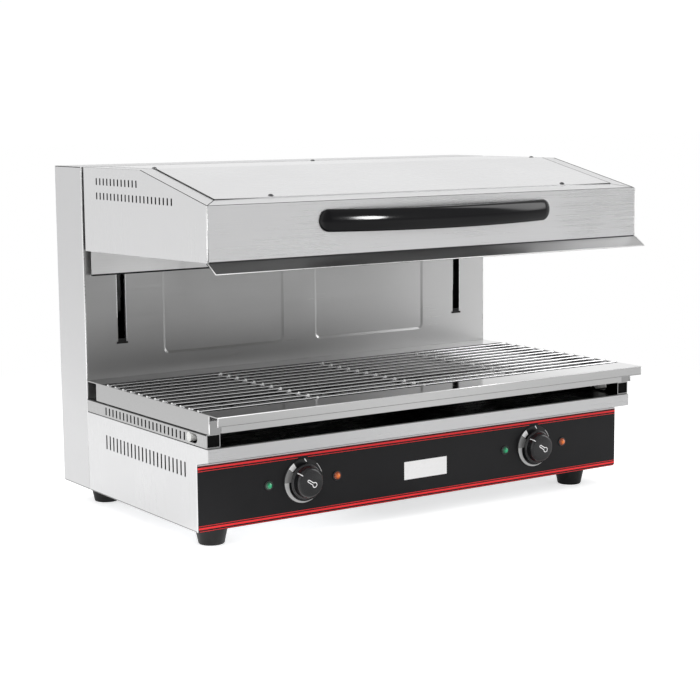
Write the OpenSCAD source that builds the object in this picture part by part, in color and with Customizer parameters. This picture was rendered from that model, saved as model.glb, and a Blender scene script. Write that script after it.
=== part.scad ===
// Lift-hood cheese melter: a base with two heat controls, a pull-out drip tray with a wire rack,
// and a heated hood that rides up and down on guide rods inside the rear column.
// Every module is drawn with X across, Y = 0 at the column's front wall, Y negative towards the
// user, and Z = 0 at the base's underside. place() moves it into the part's own frame, whose
// origin is at the middle of the footprint, on the ground.

/* [Body] */
// Width of the machine across its base and column
body_w = 800; // [740:10:880]
// Depth of the rear column
column_d = 95; // [88:1:120]
// Height of the column above the base's underside
column_h = 512; // [505:1:560]
// Thickness of the stainless sheet
sheet_t = 1.5; // [1.2:0.1:1.8]
// Outside radius of the folded corners
bend_r = 3; // [2.5:0.5:5]
// Clearance between pieces that move past each other
slide_gap = 0.3; // [0.2:0.05:0.5]
// Clearance around pieces that are fitted into a hole of the same assembly
fit_gap = 0.1; // [0.05:0.05:0.2]

/* [Feet] */
// Height of the rubber feet
foot_h = 33; // [25:1:45]
// Radius of a foot at its top
foot_top_r = 25.5; // [22:0.5:30]
// Radius of a foot at the ground
foot_ground_r = 18.5; // [15:0.5:22]
// Distance of the foot centres from the body's sides
foot_inset = 52; // [40:1:70]
// Distance from the control panel back to the front feet's centres
foot_front_inset = 55; // [40:1:80]

/* [Base] */
// Height of the base
base_h = 127; // [120:1:140]
// Distance from the column to the front of the control panel
panel_reach = 354; // [340:1:370]
// Overhang of the rail in front of the control panel
rail_overhang = 32; // [24:1:44]
// Height of the rail's face above its folded underside
rail_face_h = 20; // [14:1:24]
// Fall of the sloping underside between the rail and the control panel
slant_drop = 8; // [4:1:12]
// Thickness of the printed control panel
panel_t = 1.2; // [1:0.1:2]
// Corner radius of the control panel
panel_corner_r = 4; // [2:0.5:8]
// Width of the turned-in edges of the base's sheets
flange_w = 14; // [10:1:18]
// Width of the wiring opening between base and column
wire_window_w = 200; // [120:5:300]
// Height of the wiring opening between base and column
wire_window_h = 60; // [40:1:80]

/* [Vents] */
// Width of one cooling slot
vent_w = 4; // [3:0.5:5]
// Distance between cooling slots
vent_pitch = 12; // [10:0.5:16]
// Distance from the column to the first cooling slot of base and runners
vent_first = 66; // [50:1:90]
// Distance from the column to the first cooling slot of the hood
hood_vent_first = 54.5; // [40:0.5:80]
// Height of the base's cooling slots
base_vent_h = 22; // [14:1:30]
// Distance from the base's top edge to its cooling slots
base_vent_drop = 29; // [20:1:40]
// Height of the runners' cooling slots
runner_vent_h = 12; // [8:1:14]
// Height of the hood's cooling slots
hood_vent_h = 10.5; // [8:0.5:15]

/* [Runners and tray] */
// Width of the box-section runners
runner_w = 22; // [18:1:30]
// Height of the runners
runner_h = 19.5; // [17:0.5:24]
// Setback of the runners' front ends from the rail
runner_setback = 3; // [1:0.5:8]
// Depth of the groove between the base's sides and the runners
seam_d = 2.5; // [1:0.5:4]
// Radius of the nylon pegs in the runners' windows
peg_r = 7; // [5:0.5:8]
// Distance from the runners' front ends to the nylon pegs
peg_setback = 52; // [42:1:60]
// Length of the window in front of a nylon peg
peg_window = 32; // [24:1:36]
// Height by which the glide buttons hold the tray above its runners
glide_h = 1.2; // [0.8:0.1:2]
// Radius of the glide buttons
glide_r = 7; // [5:0.5:8]
// Height of the tray's walls
tray_h = 28; // [24:1:34]
// Distance from the column to the tray's rear wall
tray_rear = 33; // [25:1:45]
// Overhang of the tray's front wall beyond the rail
tray_overhang = 4; // [1:0.5:10]
// Overhang of the tray's lip beyond its front wall
lip_w = 25; // [18:1:32]
// Height of the lip's turned-down face
lip_h = 14; // [8:1:18]
// Width of the shelf from the front wall inwards
shelf_w = 28; // [15:1:40]
// Width of the rim from the rear wall inwards
rear_rim_w = 19; // [10:1:30]
// Width of the ledges that carry the rack
ledge_w = 11; // [9:1:16]

/* [Wire rack] */
// Diameter of the rack's long wires
wire_d = 3.5; // [3:0.5:6]
// Diameter of the bars under the wires
bar_d = 5; // [4:0.5:8]
// Distance between the long wires
wire_pitch = 26; // [18:1:34]
// Depth by which crossing wires are welded into each other
weld_d = 0.6; // [0.3:0.1:1]
// Number of bars between the two end bars
inner_bars = 3; // [1:1:5]

/* [Hood] */
// Width of the hood
hood_w = 800; // [740:10:800]
// Overhang of the hood's front face beyond the tray's front wall
hood_overhang = 5; // [0:1:15]
// Height of the hood's sides at the front
hood_h = 123; // [115:1:140]
// Height of the hood's front face
hood_front_h = 78.5; // [70:0.5:95]
// Fall of the hood's lower side edges towards the column
hood_side_fall = 7; // [0:1:12]
// Distance from the column to the fold where the hood's top starts to slope
hood_fold = 196; // [160:1:240]
// Gap between the hood and the column
hood_gap = 10; // [8:0.5:14]
// Distance from the hood's edges to the edge of its lid
lid_border = 30; // [20:1:34]
// Overlap of the lid on the hood's top frame
lid_lap = 12; // [9:1:16]
// Thickness of the lid
lid_t = 1.2; // [1:0.1:1.5]
// Drop of the rear skirt below the hood
rear_skirt_drop = 46; // [30:1:60]
// Distance from the rear skirt's ends to the hood's sides
rear_skirt_inset = 9; // [5:1:20]
// Outward flare of the front skirt
flare_out = 23; // [15:1:28]
// Fall of the front skirt
flare_drop = 14; // [6:1:20]
// Width of the seam grooves in the hood's folded top
seam_groove_w = 1; // [0.6:0.1:1.5]
// Depth of the seam grooves in the hood's folded top
seam_groove_d = 0.6; // [0.3:0.1:0.8]

/* [Handle] */
// Length of the handle
handle_w = 434; // [300:2:500]
// Height of the handle
handle_h = 31; // [26:1:38]
// Thickness of the handle's bar
handle_t = 11; // [9:0.5:14]
// Reach of the bowed handle beyond the hood's face
handle_bow = 31; // [26:1:40]
// Height of the handle's ends above the hood's lower edge
handle_rise = 50.5; // [42:0.5:60]
// Droop of the handle's middle, in degrees below level
handle_droop = 5; // [0:1:10]

/* [Controls] */
// Distance of the knobs from the middle
knob_x = 222; // [160:1:280]
// Height of the knobs' axes above the base's underside
knob_z = 54; // [48:1:58]
// Radius of a knob's skirt
knob_skirt_r = 26.5; // [22:0.5:30]
// Height of a knob's skirt
knob_skirt_h = 2.5; // [2:0.5:4]
// Radius of a knob's neck between the dial plate and the skirt
knob_neck_r = 19; // [14:0.5:20]
// Height of a knob's neck
knob_neck_h = 6; // [3:0.5:7]
// Radius of a knob's cap where it leaves the skirt
knob_cap_r = 24; // [20:0.5:25]
// Narrowing of a knob's cap from the skirt to its face
knob_taper = 1.2; // [0.5:0.1:2.5]
// Radius of the edge round a knob's face
knob_edge_r = 5.5; // [3:0.5:7]
// Height of the dome of a knob's face
knob_crown = 2.5; // [1:0.5:4]
// Height of a knob
knob_h = 23; // [20:0.5:26]
// Radius of the dial plates
dial_r = 34; // [31:0.5:38]
// Thickness of the dial plates
dial_t = 2; // [1.5:0.1:3]
// Radius of the regulators' spindles
spindle_r = 3; // [2.5:0.5:4]
// Distance of the lamps from their knob's axis
lamp_offset = 60; // [50:1:80]
// Radius of the lamps' lenses
lens_r = 6; // [4:0.5:7]

/* [Lift] */
// Travel of the hood
lift_travel = 150; // [120:5:155]
// Distance of the arms and guide rods from the middle
arm_x = 336; // [300:1:350]
// Width of the arm slots in the column
slot_w = 14.6; // [12:0.1:18]
// Height of the slots' lower ends above the base's underside
slot_z = 230; // [220:1:235]
// Thickness of the arms
arm_t = 6; // [4:0.5:8]
// Height of the rubber stop in each slot
stop_h = 8; // [6:1:10]
// Radius of the guide rods
rod_r = 6; // [5:0.5:8]
// Distance from the column's front wall to the rods' axes
rod_y = 46; // [42:1:50]
// Height of the carriages
carriage_h = 190; // [150:5:200]
// Width and depth of the carriages
carriage_w = 32; // [28:1:36]
// Wall of the carriages' bushes
bush_wall = 3; // [2:0.5:4]
// Length of the carriages' bushes
bush_l = 30; // [20:1:40]
// Thickness of the rails that hold the rods
rod_rail_t = 8; // [6:1:10]
// Coil radius of the balance springs, to the middle of the wire
spring_r = 10.5; // [9:0.5:13]
// Wire radius of the balance springs
spring_wire_r = 1.5; // [1.2:0.1:2]
// Distance of the balance springs from the middle
spring_x = 240; // [150:5:280]

/* [Heaters] */
// Radius of the heating elements' tube
element_r = 4; // [3:0.5:5]
// Distance between the runs of an element
element_pitch = 50; // [40:1:60]
// Number of runs in an element, an even number so that both ends leave at one side
element_runs = 6; // [4:2:6]
// Depth of the reflector above the hood's floor
reflector_h = 36; // [30:1:44]
// Distance from the hood's sides to the reflector
reflector_inset = 48; // [44:1:70]
// Thickness of the reflector
reflector_t = 1; // [0.8:0.1:1.5]

/* [Back] */
// Thickness of the back cover
cover_t = 1.2; // [1:0.1:1.5]
// Radius of the hole through the cable gland
gland_bore_r = 6; // [4:0.5:8]
// Length of the gland outside the back cover
gland_out = 14; // [10:1:20]
// Distance of the gland from the body's side
gland_inset = 100; // [70:5:200]
// Height of the gland above the base's underside
gland_z = 60; // [40:1:80]

/* [Hidden] */
$fn = 64;

half_w = body_w / 2;
rail_reach = panel_reach + rail_overhang;
runner_reach = rail_reach - runner_setback;
peg_reach = runner_reach - peg_setback;
tray_reach = rail_reach + tray_overhang;
hood_reach = tray_reach + hood_overhang;
front_reach = hood_reach + handle_bow;
back_reach = column_d + gland_out;
inner_bend_r = bend_r - sheet_t / 2;
frame_y = (front_reach - back_reach) / 2;

// Base
panel_h = base_h - rail_face_h - slant_drop;
face_y = -panel_reach + panel_t;
deck_z = base_h - sheet_t;
inner_w = half_w - sheet_t;
tiny = 0.01;

// Runners, tray and rack
runner_top = base_h + runner_h;
tray_z = runner_top + glide_h + slide_gap;
rim_z = tray_z + tray_h;
tray_inner = half_w - sheet_t;
shelf_y = -tray_reach + shelf_w;
rear_rim_y = -tray_rear - rear_rim_w;
wire_z = rim_z;
bar_z = wire_z - wire_d / 2 - bar_d / 2 + weld_d;
ledge_z = bar_z - bar_d / 2 - slide_gap;
rack_end_x = tray_inner - 1;
end_bar_x = tray_inner - ledge_w / 2;
wire_margin = 6;
wires = floor((tray_reach - shelf_w - tray_rear - rear_rim_w - 2 * wire_margin) / wire_pitch) + 1;
first_wire_y = shelf_y + wire_margin;

// Hood outline: folds of the side profile
hood_z = column_h - hood_h;
hood_half = hood_w / 2;
slope_angle = atan((hood_h - hood_front_h) / (hood_reach - hood_fold));
hood_inner_x = hood_half - sheet_t;

// Lift
rail_flange_h = 18;
rail_flange_t = 3;
arm_low = slot_z + stop_h + slide_gap + lift_travel;
arm_drop = 32;
arm_high = column_h - arm_drop;
slot_top = arm_high + 4;
rod_rail_z = column_h - sheet_t - rail_flange_h - 2.5;
carriage_top = rod_rail_z - slide_gap;
carriage_z = carriage_top - carriage_h;
leg_low = carriage_z - 18;
low_rail_top = leg_low - lift_travel - 12;
carriage_y = rod_y - carriage_w / 2;
sync_h = 25;
sync_wall = 2;
sync_z = carriage_z + 4;
lug_t = 4;
lug_hole_r = 4;
hook_r = 8;

// Handle stations
handle_steps = 40;
handle_ring = 20;

module place() {
    translate([0, frame_y, foot_h]) children();
}

module both_sides() {
    children();
    mirror([1, 0, 0]) children();
}

// A block from its lowest corner to its highest corner
module block(lo, hi) {
    translate(lo) cube(hi - lo);
}

// A rectangle from the origin with round corners
module rounded_rect(w, h, r) {
    translate([r, 0]) square([w - 2 * r, h]);
    translate([0, r]) square([w, h - 2 * r]);
    for (x = [r, w - r], y = [r, h - r]) translate([x, y]) circle(r);
}

// A profile given in (Y, Z) and drawn out along X
module along_x(x0, x1) {
    translate([x0, 0, 0]) rotate([90, 0, 90]) linear_extrude(x1 - x0) children();
}

// A profile given in (X, Z) and drawn out along Y
module along_y(y0, y1) {
    translate([0, y1, 0]) rotate([90, 0, 0]) linear_extrude(y1 - y0) children();
}

// A cylinder along X
module rod_x(x0, x1, r) {
    translate([x0, 0, 0]) rotate([0, 90, 0]) cylinder(h = x1 - x0, r = r);
}

// A cylinder along Y
module rod_y_dir(y0, y1, r) {
    translate([0, y1, 0]) rotate([90, 0, 0]) cylinder(h = y1 - y0, r = r);
}

// A pan-head screw along Z with its head's seat at Z = 0 and a cross recess in the head
module pan_screw(length) {
    head_h = 2.2;
    dome_r = 5.5;
    recess_l = 2.2 * screw_r;
    recess_w = 1;
    translate([0, 0, -length]) cylinder(h = length + tiny, r = screw_r);
    difference() {
        intersection() {
            cylinder(h = head_h, r = screw_head_r);
            translate([0, 0, head_h - dome_r]) sphere(dome_r);
        }
        translate([-recess_l / 2, -recess_w / 2, head_h / 2]) cube([recess_l, recess_w, head_h]);
        translate([-recess_w / 2, -recess_l / 2, head_h / 2]) cube([recess_w, recess_l, head_h]);
    }
}

// A row of upright cooling slots cut through along X, from the column towards the front
module vent_row(x0, x1, first, last, z0, h) {
    count = floor((last - first) / vent_pitch) + 1;
    for (i = [0 : count - 1]) {
        y = -first - i * vent_pitch;
        block([x0, y - vent_w / 2, z0], [x1, y + vent_w / 2, z0 + h]);
    }
}

// ---------------------------------------------------------------- base

// Side sheet of the base: stepped profile, turned-in front and top edges, and a row of slots
module base_side() {
    difference() {
        union() {
            along_x(inner_w, half_w) polygon([
                [0, 0], [0, deck_z], [-rail_reach, deck_z], [-rail_reach, panel_h + slant_drop],
                [face_y, panel_h], [face_y, bend_r], [face_y, 0]
            ]);
            block([half_w - flange_w, face_y, 0], [half_w, face_y + sheet_t, panel_h]);
            block([half_w - flange_w, -panel_reach + flange_w, deck_z - sheet_t], [half_w, 0, deck_z]);
        }
        // Round off the upright front corner
        difference() {
            block([half_w - bend_r, face_y - 1, -1], [half_w + 1, face_y + bend_r, panel_h + 1]);
            translate([half_w - bend_r, face_y + bend_r, -2]) cylinder(h = panel_h + 4, r = bend_r);
        }
        vent_row(inner_w - 1, half_w + 1, vent_first, panel_reach - 3 * vent_pitch,
                 base_h - base_vent_drop - base_vent_h, base_vent_h);
    }
}

module base_side_left() {
    place() color("silver") mirror([1, 0, 0]) base_side();
}

module base_side_right() {
    place() color("silver") base_side();
}

// Folded front sheet: face behind the control panel, sloping underside, rail face and top edge
module base_front() {
    slant = atan(slant_drop / (rail_overhang + panel_t));
    fold = sheet_t * tan((90 - slant) / 2);
    rail_top_w = 20;
    place() color("silver") difference() {
        along_x(-inner_w, inner_w) polygon([
            [face_y, sheet_t], [face_y, panel_h], [-rail_reach, panel_h + slant_drop],
            [-rail_reach, deck_z], [-rail_reach + rail_top_w, deck_z],
            [-rail_reach + rail_top_w, deck_z - sheet_t],
            [-rail_reach + sheet_t, deck_z - sheet_t],
            [-rail_reach + sheet_t, panel_h + slant_drop + fold],
            [face_y + sheet_t, panel_h + fold], [face_y + sheet_t, sheet_t]
        ]);
        both_sides() {
            // Clearance for the sides' turned-in front edges
            block([half_w - flange_w - fit_gap, face_y - 1, 0],
                  [half_w, face_y + sheet_t + tiny, panel_h + tiny]);
            translate([knob_x, 0, knob_z]) rod_y_dir(face_y - 1, face_y + 3, bush_outer_r + fit_gap);
            for (s = [-1, 1]) translate([knob_x + s * lamp_offset, 0, knob_z])
                rod_y_dir(face_y - 1, face_y + 3, lamp_body_r + fit_gap);
        }
    }
}

bush_outer_r = spindle_r + 2;
lamp_body_r = lens_r - 0.5;
spindle_in = 18;
knob_face_t = 6;

// Printed panel over the face, with round corners and holes for spindles and lamps
module control_panel() {
    place() color([0.1, 0.1, 0.11]) difference() {
        along_y(-panel_reach, face_y) translate([-half_w + 0.5, 0])
            rounded_rect(body_w - 1, panel_h - 0.5, panel_corner_r);
        both_sides() {
            translate([knob_x, 0, knob_z])
                rod_y_dir(-panel_reach - 1, face_y + 1, bush_outer_r + fit_gap);
            for (s = [-1, 1]) translate([knob_x + s * lamp_offset, 0, knob_z])
                rod_y_dir(-panel_reach - 1, face_y + 1, lamp_body_r + fit_gap);
        }
    }
}

module base_bottom() {
    place() color("darkgray") difference() {
        block([-inner_w, face_y + sheet_t, 0], [inner_w, -tiny, sheet_t]);
        for (x = [-1, 1]) translate([x * foot_x, front_foot_y, -1])
            cylinder(h = sheet_t + 2, r = foot_stud_r + fit_gap);
    }
}

module deck_plate() {
    place() color("silver")
        block([-half_w + seam_d, -rail_reach, deck_z], [half_w - seam_d, -tiny, base_h]);
}

// ---------------------------------------------------------------- controls

module dial_plates() {
    place() color([0.12, 0.12, 0.13]) both_sides() translate([knob_x, -panel_reach, knob_z])
        rotate([90, 0, 0]) rotate_extrude() polygon([
            [bush_outer_r + 2, 0], [dial_r, 0], [dial_r, dial_t - 0.8],
            [dial_r - 0.8, dial_t], [bush_outer_r + 2, dial_t]
        ]);
}

// One lamp: a body through the panel and a domed lens in front of it
module lamp() {
    dome_h = 3.5;
    rim_h = 1.8;
    body_l = 18;
    dome_r = (lens_r * lens_r + dome_h * dome_h) / (2 * dome_h);
    rotate([90, 0, 0]) {
        translate([0, 0, -body_l]) cylinder(h = body_l + tiny, r = lamp_body_r);
        cylinder(h = rim_h, r = lens_r - fit_gap);
        intersection() {
            translate([0, 0, rim_h + dome_h - dome_r]) sphere(dome_r);
            translate([0, 0, rim_h]) cylinder(h = dome_h, r = lens_r - fit_gap);
        }
    }
}

module green_lamps() {
    place() color("green") for (x = [-knob_x, knob_x])
        translate([x - lamp_offset, -panel_reach, knob_z]) lamp();
}

module orange_lamps() {
    place() color("orange") for (x = [-knob_x, knob_x])
        translate([x + lamp_offset, -panel_reach, knob_z]) lamp();
}

module lamp_bezels() {
    place() color([0.08, 0.08, 0.08]) both_sides() for (s = [-1, 1])
        translate([knob_x + s * lamp_offset, -panel_reach, knob_z]) rotate([90, 0, 0])
            rotate_extrude() polygon([
                [lens_r, 0], [lens_r + 2, 0], [lens_r + 1.6, 1.4], [lens_r, 1.6]
            ]);
}

// Heat regulators behind the face, each with a threaded bush through the panel
module regulators() {
    front = 21;
    rear = 16;
    front_d = 26;
    rear_d = 6;
    nose = 3;
    place() color([0.85, 0.82, 0.75]) both_sides() translate([knob_x, face_y + sheet_t, knob_z])
        difference() {
            union() {
                block([-front, 0, -front], [front, front_d, front]);
                block([-rear, front_d, -rear], [rear, front_d + rear_d, rear]);
                rod_y_dir(-sheet_t - panel_t - nose, 0, bush_outer_r);
            }
            rod_y_dir(-front, spindle_in + fit_gap, spindle_r + fit_gap);
        }
}

// Terminal block on the base's floor, with its row of wire entries
module terminal_block() {
    ways = 5;
    pitch = 14;
    foot_d = 26;
    foot_t = 10;
    body_d = 16;
    body_h = 20;
    entry_r = 3;
    from_column = 90;
    place() color([0.9, 0.9, 0.88]) translate([-ways * pitch / 2, -from_column, sheet_t]) difference() {
        union() {
            cube([ways * pitch, foot_d, foot_t]);
            translate([0, (foot_d - body_d) / 2, 0]) cube([ways * pitch, body_d, body_h]);
        }
        for (i = [0 : ways - 1]) translate([(i + 0.5) * pitch, 0, foot_t + entry_r + 1])
            rod_y_dir(-1, foot_d + 1, entry_r);
    }
}

module spindle() {
    translate([knob_x, 0, knob_z])
        rod_y_dir(-panel_reach - dial_t - knob_h + knob_face_t, face_y + sheet_t + spindle_in, spindle_r);
}

module spindle_left() {
    place() color("gainsboro") mirror([1, 0, 0]) spindle();
}

module spindle_right() {
    place() color("gainsboro") spindle();
}

// Knob: a narrow neck, a thin skirt, a tapered grip with a rounded edge and a gently domed face
module knob() {
    base = slide_gap + 0.2;
    skirt_low = base + knob_neck_h;
    skirt_top = skirt_low + knob_skirt_h;
    lip = 0.7;
    side_r = knob_cap_r - knob_taper;
    face_r = side_r - knob_edge_r;
    crown_r = (knob_crown * knob_crown + side_r * side_r) / (2 * knob_crown);
    lean = asin(face_r / (crown_r - knob_edge_r));
    edge_y = knob_h - crown_r + (crown_r - knob_edge_r) * cos(lean);
    steps = 8;
    rounding = [for (i = [0 : steps]) let (a = i * (90 - lean) / steps)
        [face_r + knob_edge_r * cos(a), edge_y + knob_edge_r * sin(a)]];
    dome = [for (i = [steps - 1 : -1 : 0]) let (a = i * lean / steps)
        [crown_r * sin(a), knob_h - crown_r + crown_r * cos(a)]];
    translate([knob_x, -panel_reach - dial_t, knob_z]) rotate([90, 0, 0]) difference() {
        rotate_extrude() polygon(concat(
            [[0, base], [knob_neck_r, base], [knob_neck_r, skirt_low],
             [knob_skirt_r - lip, skirt_low], [knob_skirt_r, skirt_low + lip],
             [knob_skirt_r, skirt_top - lip], [knob_skirt_r - lip, skirt_top],
             [knob_cap_r + lip, skirt_top + lip / 2], [knob_cap_r, skirt_top + 2 * lip]],
            rounding, dome
        ));
        translate([0, 0, -1]) cylinder(h = 1 + knob_h - knob_face_t + fit_gap, r = spindle_r + fit_gap / 2);
        // Hollow behind the skirt, round the regulator's bush
        translate([0, 0, -1]) cylinder(h = 1 + skirt_top - 2, r = bush_outer_r + 2);
    }
}

module knob_left() {
    place() color([0.07, 0.07, 0.07]) translate([-2 * knob_x, 0, 0]) knob();
}

module knob_right() {
    place() color([0.07, 0.07, 0.07]) knob();
}

// ---------------------------------------------------------------- feet

foot_x = half_w - foot_inset;
front_foot_y = -panel_reach + foot_front_inset;
rear_foot_y = column_d / 2;
foot_stud_r = 3;
stud_l = 14;
// Corner radius of a hexagon nut or head for each unit of its thread's radius
hex_ratio = 1.93;

module foot() {
    rotate_extrude() polygon([
        [0, stud_l], [foot_stud_r, stud_l], [foot_stud_r, 0], [foot_top_r, 0], [foot_top_r, -4],
        [foot_ground_r + 1, -foot_h + 1], [foot_ground_r, -foot_h], [0, -foot_h]
    ]);
}

module feet() {
    place() color([0.1, 0.1, 0.1]) for (x = [-1, 1], y = [front_foot_y, rear_foot_y])
        translate([x * foot_x, y, 0]) foot();
}

module foot_nuts() {
    nut_h = 5;
    place() color("silver") for (x = [-1, 1], y = [front_foot_y, rear_foot_y])
        translate([x * foot_x, y, sheet_t]) difference() {
            cylinder(h = nut_h, r = hex_ratio * foot_stud_r, $fn = 6);
            translate([0, 0, -1]) cylinder(h = nut_h + 2, r = foot_stud_r + fit_gap);
        }
}

// ---------------------------------------------------------------- runners

// Box-section runner with cooling slots through both walls and a window for its nylon peg
module runner() {
    wall = runner_wall;
    vent_z = base_h + (runner_h - runner_vent_h) / 2 - 1;
    difference() {
        block([half_w - runner_w, -runner_reach, base_h], [half_w, -tiny, runner_top]);
        block([half_w - runner_w + wall, -runner_reach - 1, base_h + wall],
              [half_w - wall, 1, runner_top - wall]);
        vent_row(half_w - runner_w - 1, half_w + 1, vent_first, peg_reach - peg_r - vent_w, vent_z,
                 runner_vent_h);
        // Window from the peg forwards
        translate([half_w, 0, peg_z]) {
            translate([-runner_w - 1, -peg_reach, 0]) rod_x(0, runner_w + 2, peg_r);
            block([-runner_w - 1, -peg_reach - peg_window + 2 * peg_r, -peg_r],
                  [1, -peg_reach, peg_r]);
            translate([-runner_w - 1, -peg_reach - peg_window + 2 * peg_r, 0])
                rod_x(0, runner_w + 2, peg_r);
        }
        for (y = glide_ys) translate([half_w - runner_w / 2, y, runner_top - 2 * wall])
            cylinder(h = 3 * wall, r = glide_stem_r + fit_gap);
    }
}

runner_wall = 1.2;
peg_z = base_h + runner_h / 2;
glide_stem_r = 3;
glide_ys = [-runner_reach + 30, -runner_reach / 2, -tray_rear - 30];

module runner_left() {
    place() color("silver") mirror([1, 0, 0]) runner();
}

module runner_right() {
    place() color("silver") runner();
}

module runner_pegs() {
    place() color("white") both_sides() translate([half_w - runner_w, -peg_reach, peg_z])
        rod_x(0, runner_w, peg_r - fit_gap);
}

// Plugs in the runners' front ends, set back a little behind the rims
module runner_plugs() {
    setback = 1;
    plug_l = 8;
    gap = runner_wall + fit_gap;
    place() color([0.08, 0.08, 0.08]) both_sides()
        block([half_w - runner_w + gap, -runner_reach + setback, base_h + gap],
              [half_w - gap, -runner_reach + setback + plug_l, runner_top - gap]);
}

module glide_buttons() {
    place() color("white") both_sides() for (y = glide_ys)
        translate([half_w - runner_w / 2, y, runner_top]) {
            cylinder(h = glide_h, r = glide_r);
            translate([0, 0, -5]) cylinder(h = 5 + tiny, r = glide_stem_r);
        }
}

// ---------------------------------------------------------------- tray and rack

module drip_tray() {
    front = -tray_reach;
    lip = front - lip_w;
    corner_w = 20;
    place() color("gainsboro") difference() {
        union() {
            block([-half_w, front, tray_z], [half_w, -tray_rear, tray_z + sheet_t]);
            block([-half_w, -tray_rear - sheet_t, tray_z], [half_w, -tray_rear, rim_z]);
            block([-half_w, front, tray_z], [half_w, front + sheet_t, rim_z]);
            both_sides() {
                block([tray_inner, front, tray_z], [half_w, -tray_rear, rim_z]);
                block([tray_inner - ledge_w, front, ledge_z - sheet_t], [half_w, -tray_rear, ledge_z]);
            }
            // Shelf and turned-down lip
            block([-half_w, lip, rim_z - sheet_t], [half_w, shelf_y, rim_z]);
            block([-half_w, lip, rim_z - lip_h], [half_w, lip + sheet_t, rim_z]);
            // Rear rim, over the gap to the column
            block([-half_w, rear_rim_y, rim_z - sheet_t], [half_w, -0.5, rim_z]);
        }
        // Set-back strips of the front wall beside its corners
        both_sides() block([half_w - corner_w, front - 1, tray_z - 1],
                           [half_w + 1, front + sheet_t / 2, rim_z - sheet_t]);
    }
}

// Wire rack: long wires welded onto cross bars, whose end bars stand on the tray's ledges
module wire_rack() {
    place() color("whitesmoke") union() {
        for (i = [0 : wires - 1]) translate([0, first_wire_y + i * wire_pitch, wire_z])
            rod_x(-rack_end_x, rack_end_x, wire_d / 2);
        for (i = [0 : inner_bars + 1]) {
            x = -end_bar_x + 2 * end_bar_x * i / (inner_bars + 1);
            translate([x, 0, bar_z])
                rod_y_dir(first_wire_y - 2, first_wire_y + (wires - 1) * wire_pitch + 2, bar_d / 2);
        }
    }
}

// ---------------------------------------------------------------- column

// Column shell: front, sides and top in one folded sheet, open at the back
module column_shell() {
    back = column_d - cover_t;
    place() color("silver") difference() {
        union() {
            difference() {
                rounded_front(half_w, 0, back, 0, column_h, bend_r);
                rounded_front(inner_w, sheet_t, back + 1, -1, column_h - sheet_t, inner_bend_r);
            }
            // Turned-in edges that carry the back cover
            both_sides() block([half_w - flange_w, back - sheet_t, 0], [half_w, back, column_h]);
            block([-half_w, back - sheet_t, column_h - flange_w], [half_w, back, column_h]);
            both_sides() {
                emboss_rear();
                // Edges of the slot, folded inwards
                block([arm_x - slot_w / 2 - sheet_t, sheet_t / 2, slot_z],
                      [arm_x + slot_w / 2 + sheet_t, slot_fold, slot_top]);
            }
        }
        both_sides() {
            emboss_front();
            block([arm_x - slot_w / 2, -1, slot_z], [arm_x + slot_w / 2, slot_fold + 1, slot_top]);
        }
        block([-wire_window_w / 2, -1, 2 * flange_w],
              [wire_window_w / 2, sheet_t + 1, 2 * flange_w + wire_window_h]);
        for (p = back_screw_places) translate([p.x, 0, p.y]) rod_y_dir(back - 5, back + 1, screw_r + fit_gap);
    }
}

// A block whose two upright front edges are rounded
module rounded_front(half, y0, y1, z0, z1, r) {
    translate([0, 0, z0]) linear_extrude(z1 - z0) {
        translate([-half, y0 + r]) square([2 * half, y1 - y0 - r]);
        translate([-half + r, y0]) square([2 * half - 2 * r, r + 1]);
        for (s = [-1, 1]) translate([s * (half - r), y0 + r]) circle(r);
    }
}

slot_fold = 5;
emboss_d = 1.5;
emboss_slope = 4;
emboss_x = 30;
emboss_w = 233;
emboss_r = 12;
emboss_below = 25;
emboss_low = slot_z - emboss_below;

// Rear of one of the two shallow pressed panels that stiffen the column's front
module emboss_rear() {
    along_y(sheet_t, emboss_d + sheet_t) translate([emboss_x, emboss_low])
        rounded_rect(emboss_w, arm_high - emboss_low, emboss_r);
}

// Front of a pressed panel: flat, with edges that slope back to the column's face
module emboss_front() {
    lead = 0.5;
    flat_r = emboss_r - sheet_t - emboss_slope;
    face_r = flat_r + emboss_slope * (emboss_d + lead) / emboss_d;
    x0 = emboss_x + emboss_r;
    x1 = emboss_x + emboss_w - emboss_r;
    z0 = emboss_low + emboss_r;
    z1 = arm_high - emboss_r;
    along_x(x0, x1) polygon([
        [-lead, z0 - face_r], [emboss_d, z0 - flat_r], [emboss_d, z1 + flat_r], [-lead, z1 + face_r]
    ]);
    translate([0, 0, z0]) linear_extrude(z1 - z0) polygon([
        [x0 - face_r, -lead], [x0 - flat_r, emboss_d], [x1 + flat_r, emboss_d], [x1 + face_r, -lead]
    ]);
    for (x = [x0, x1], z = [z0, z1]) translate([x, -lead, z]) rotate([-90, 0, 0])
        cylinder(h = emboss_d + lead, r1 = face_r, r2 = flat_r);
}

module column_bottom() {
    place() color("darkgray") difference() {
        rounded_front(inner_w, sheet_t, column_d - cover_t - sheet_t, 0, sheet_t, inner_bend_r);
        for (x = [-1, 1]) translate([x * foot_x, rear_foot_y, -1])
            cylinder(h = sheet_t + 2, r = foot_stud_r + fit_gap);
    }
}

screw_r = 2;
screw_head_r = 4;
back_screw_inset = 25;
back_screw_places = [
    for (x = [-half_w + flange_w / 2, half_w - flange_w / 2], i = [0 : 3])
        [x, back_screw_inset + i * (column_h - 2 * back_screw_inset) / 3],
    for (i = [1 : 3]) [-half_w + i * body_w / 4, column_h - flange_w / 2]
];

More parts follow.
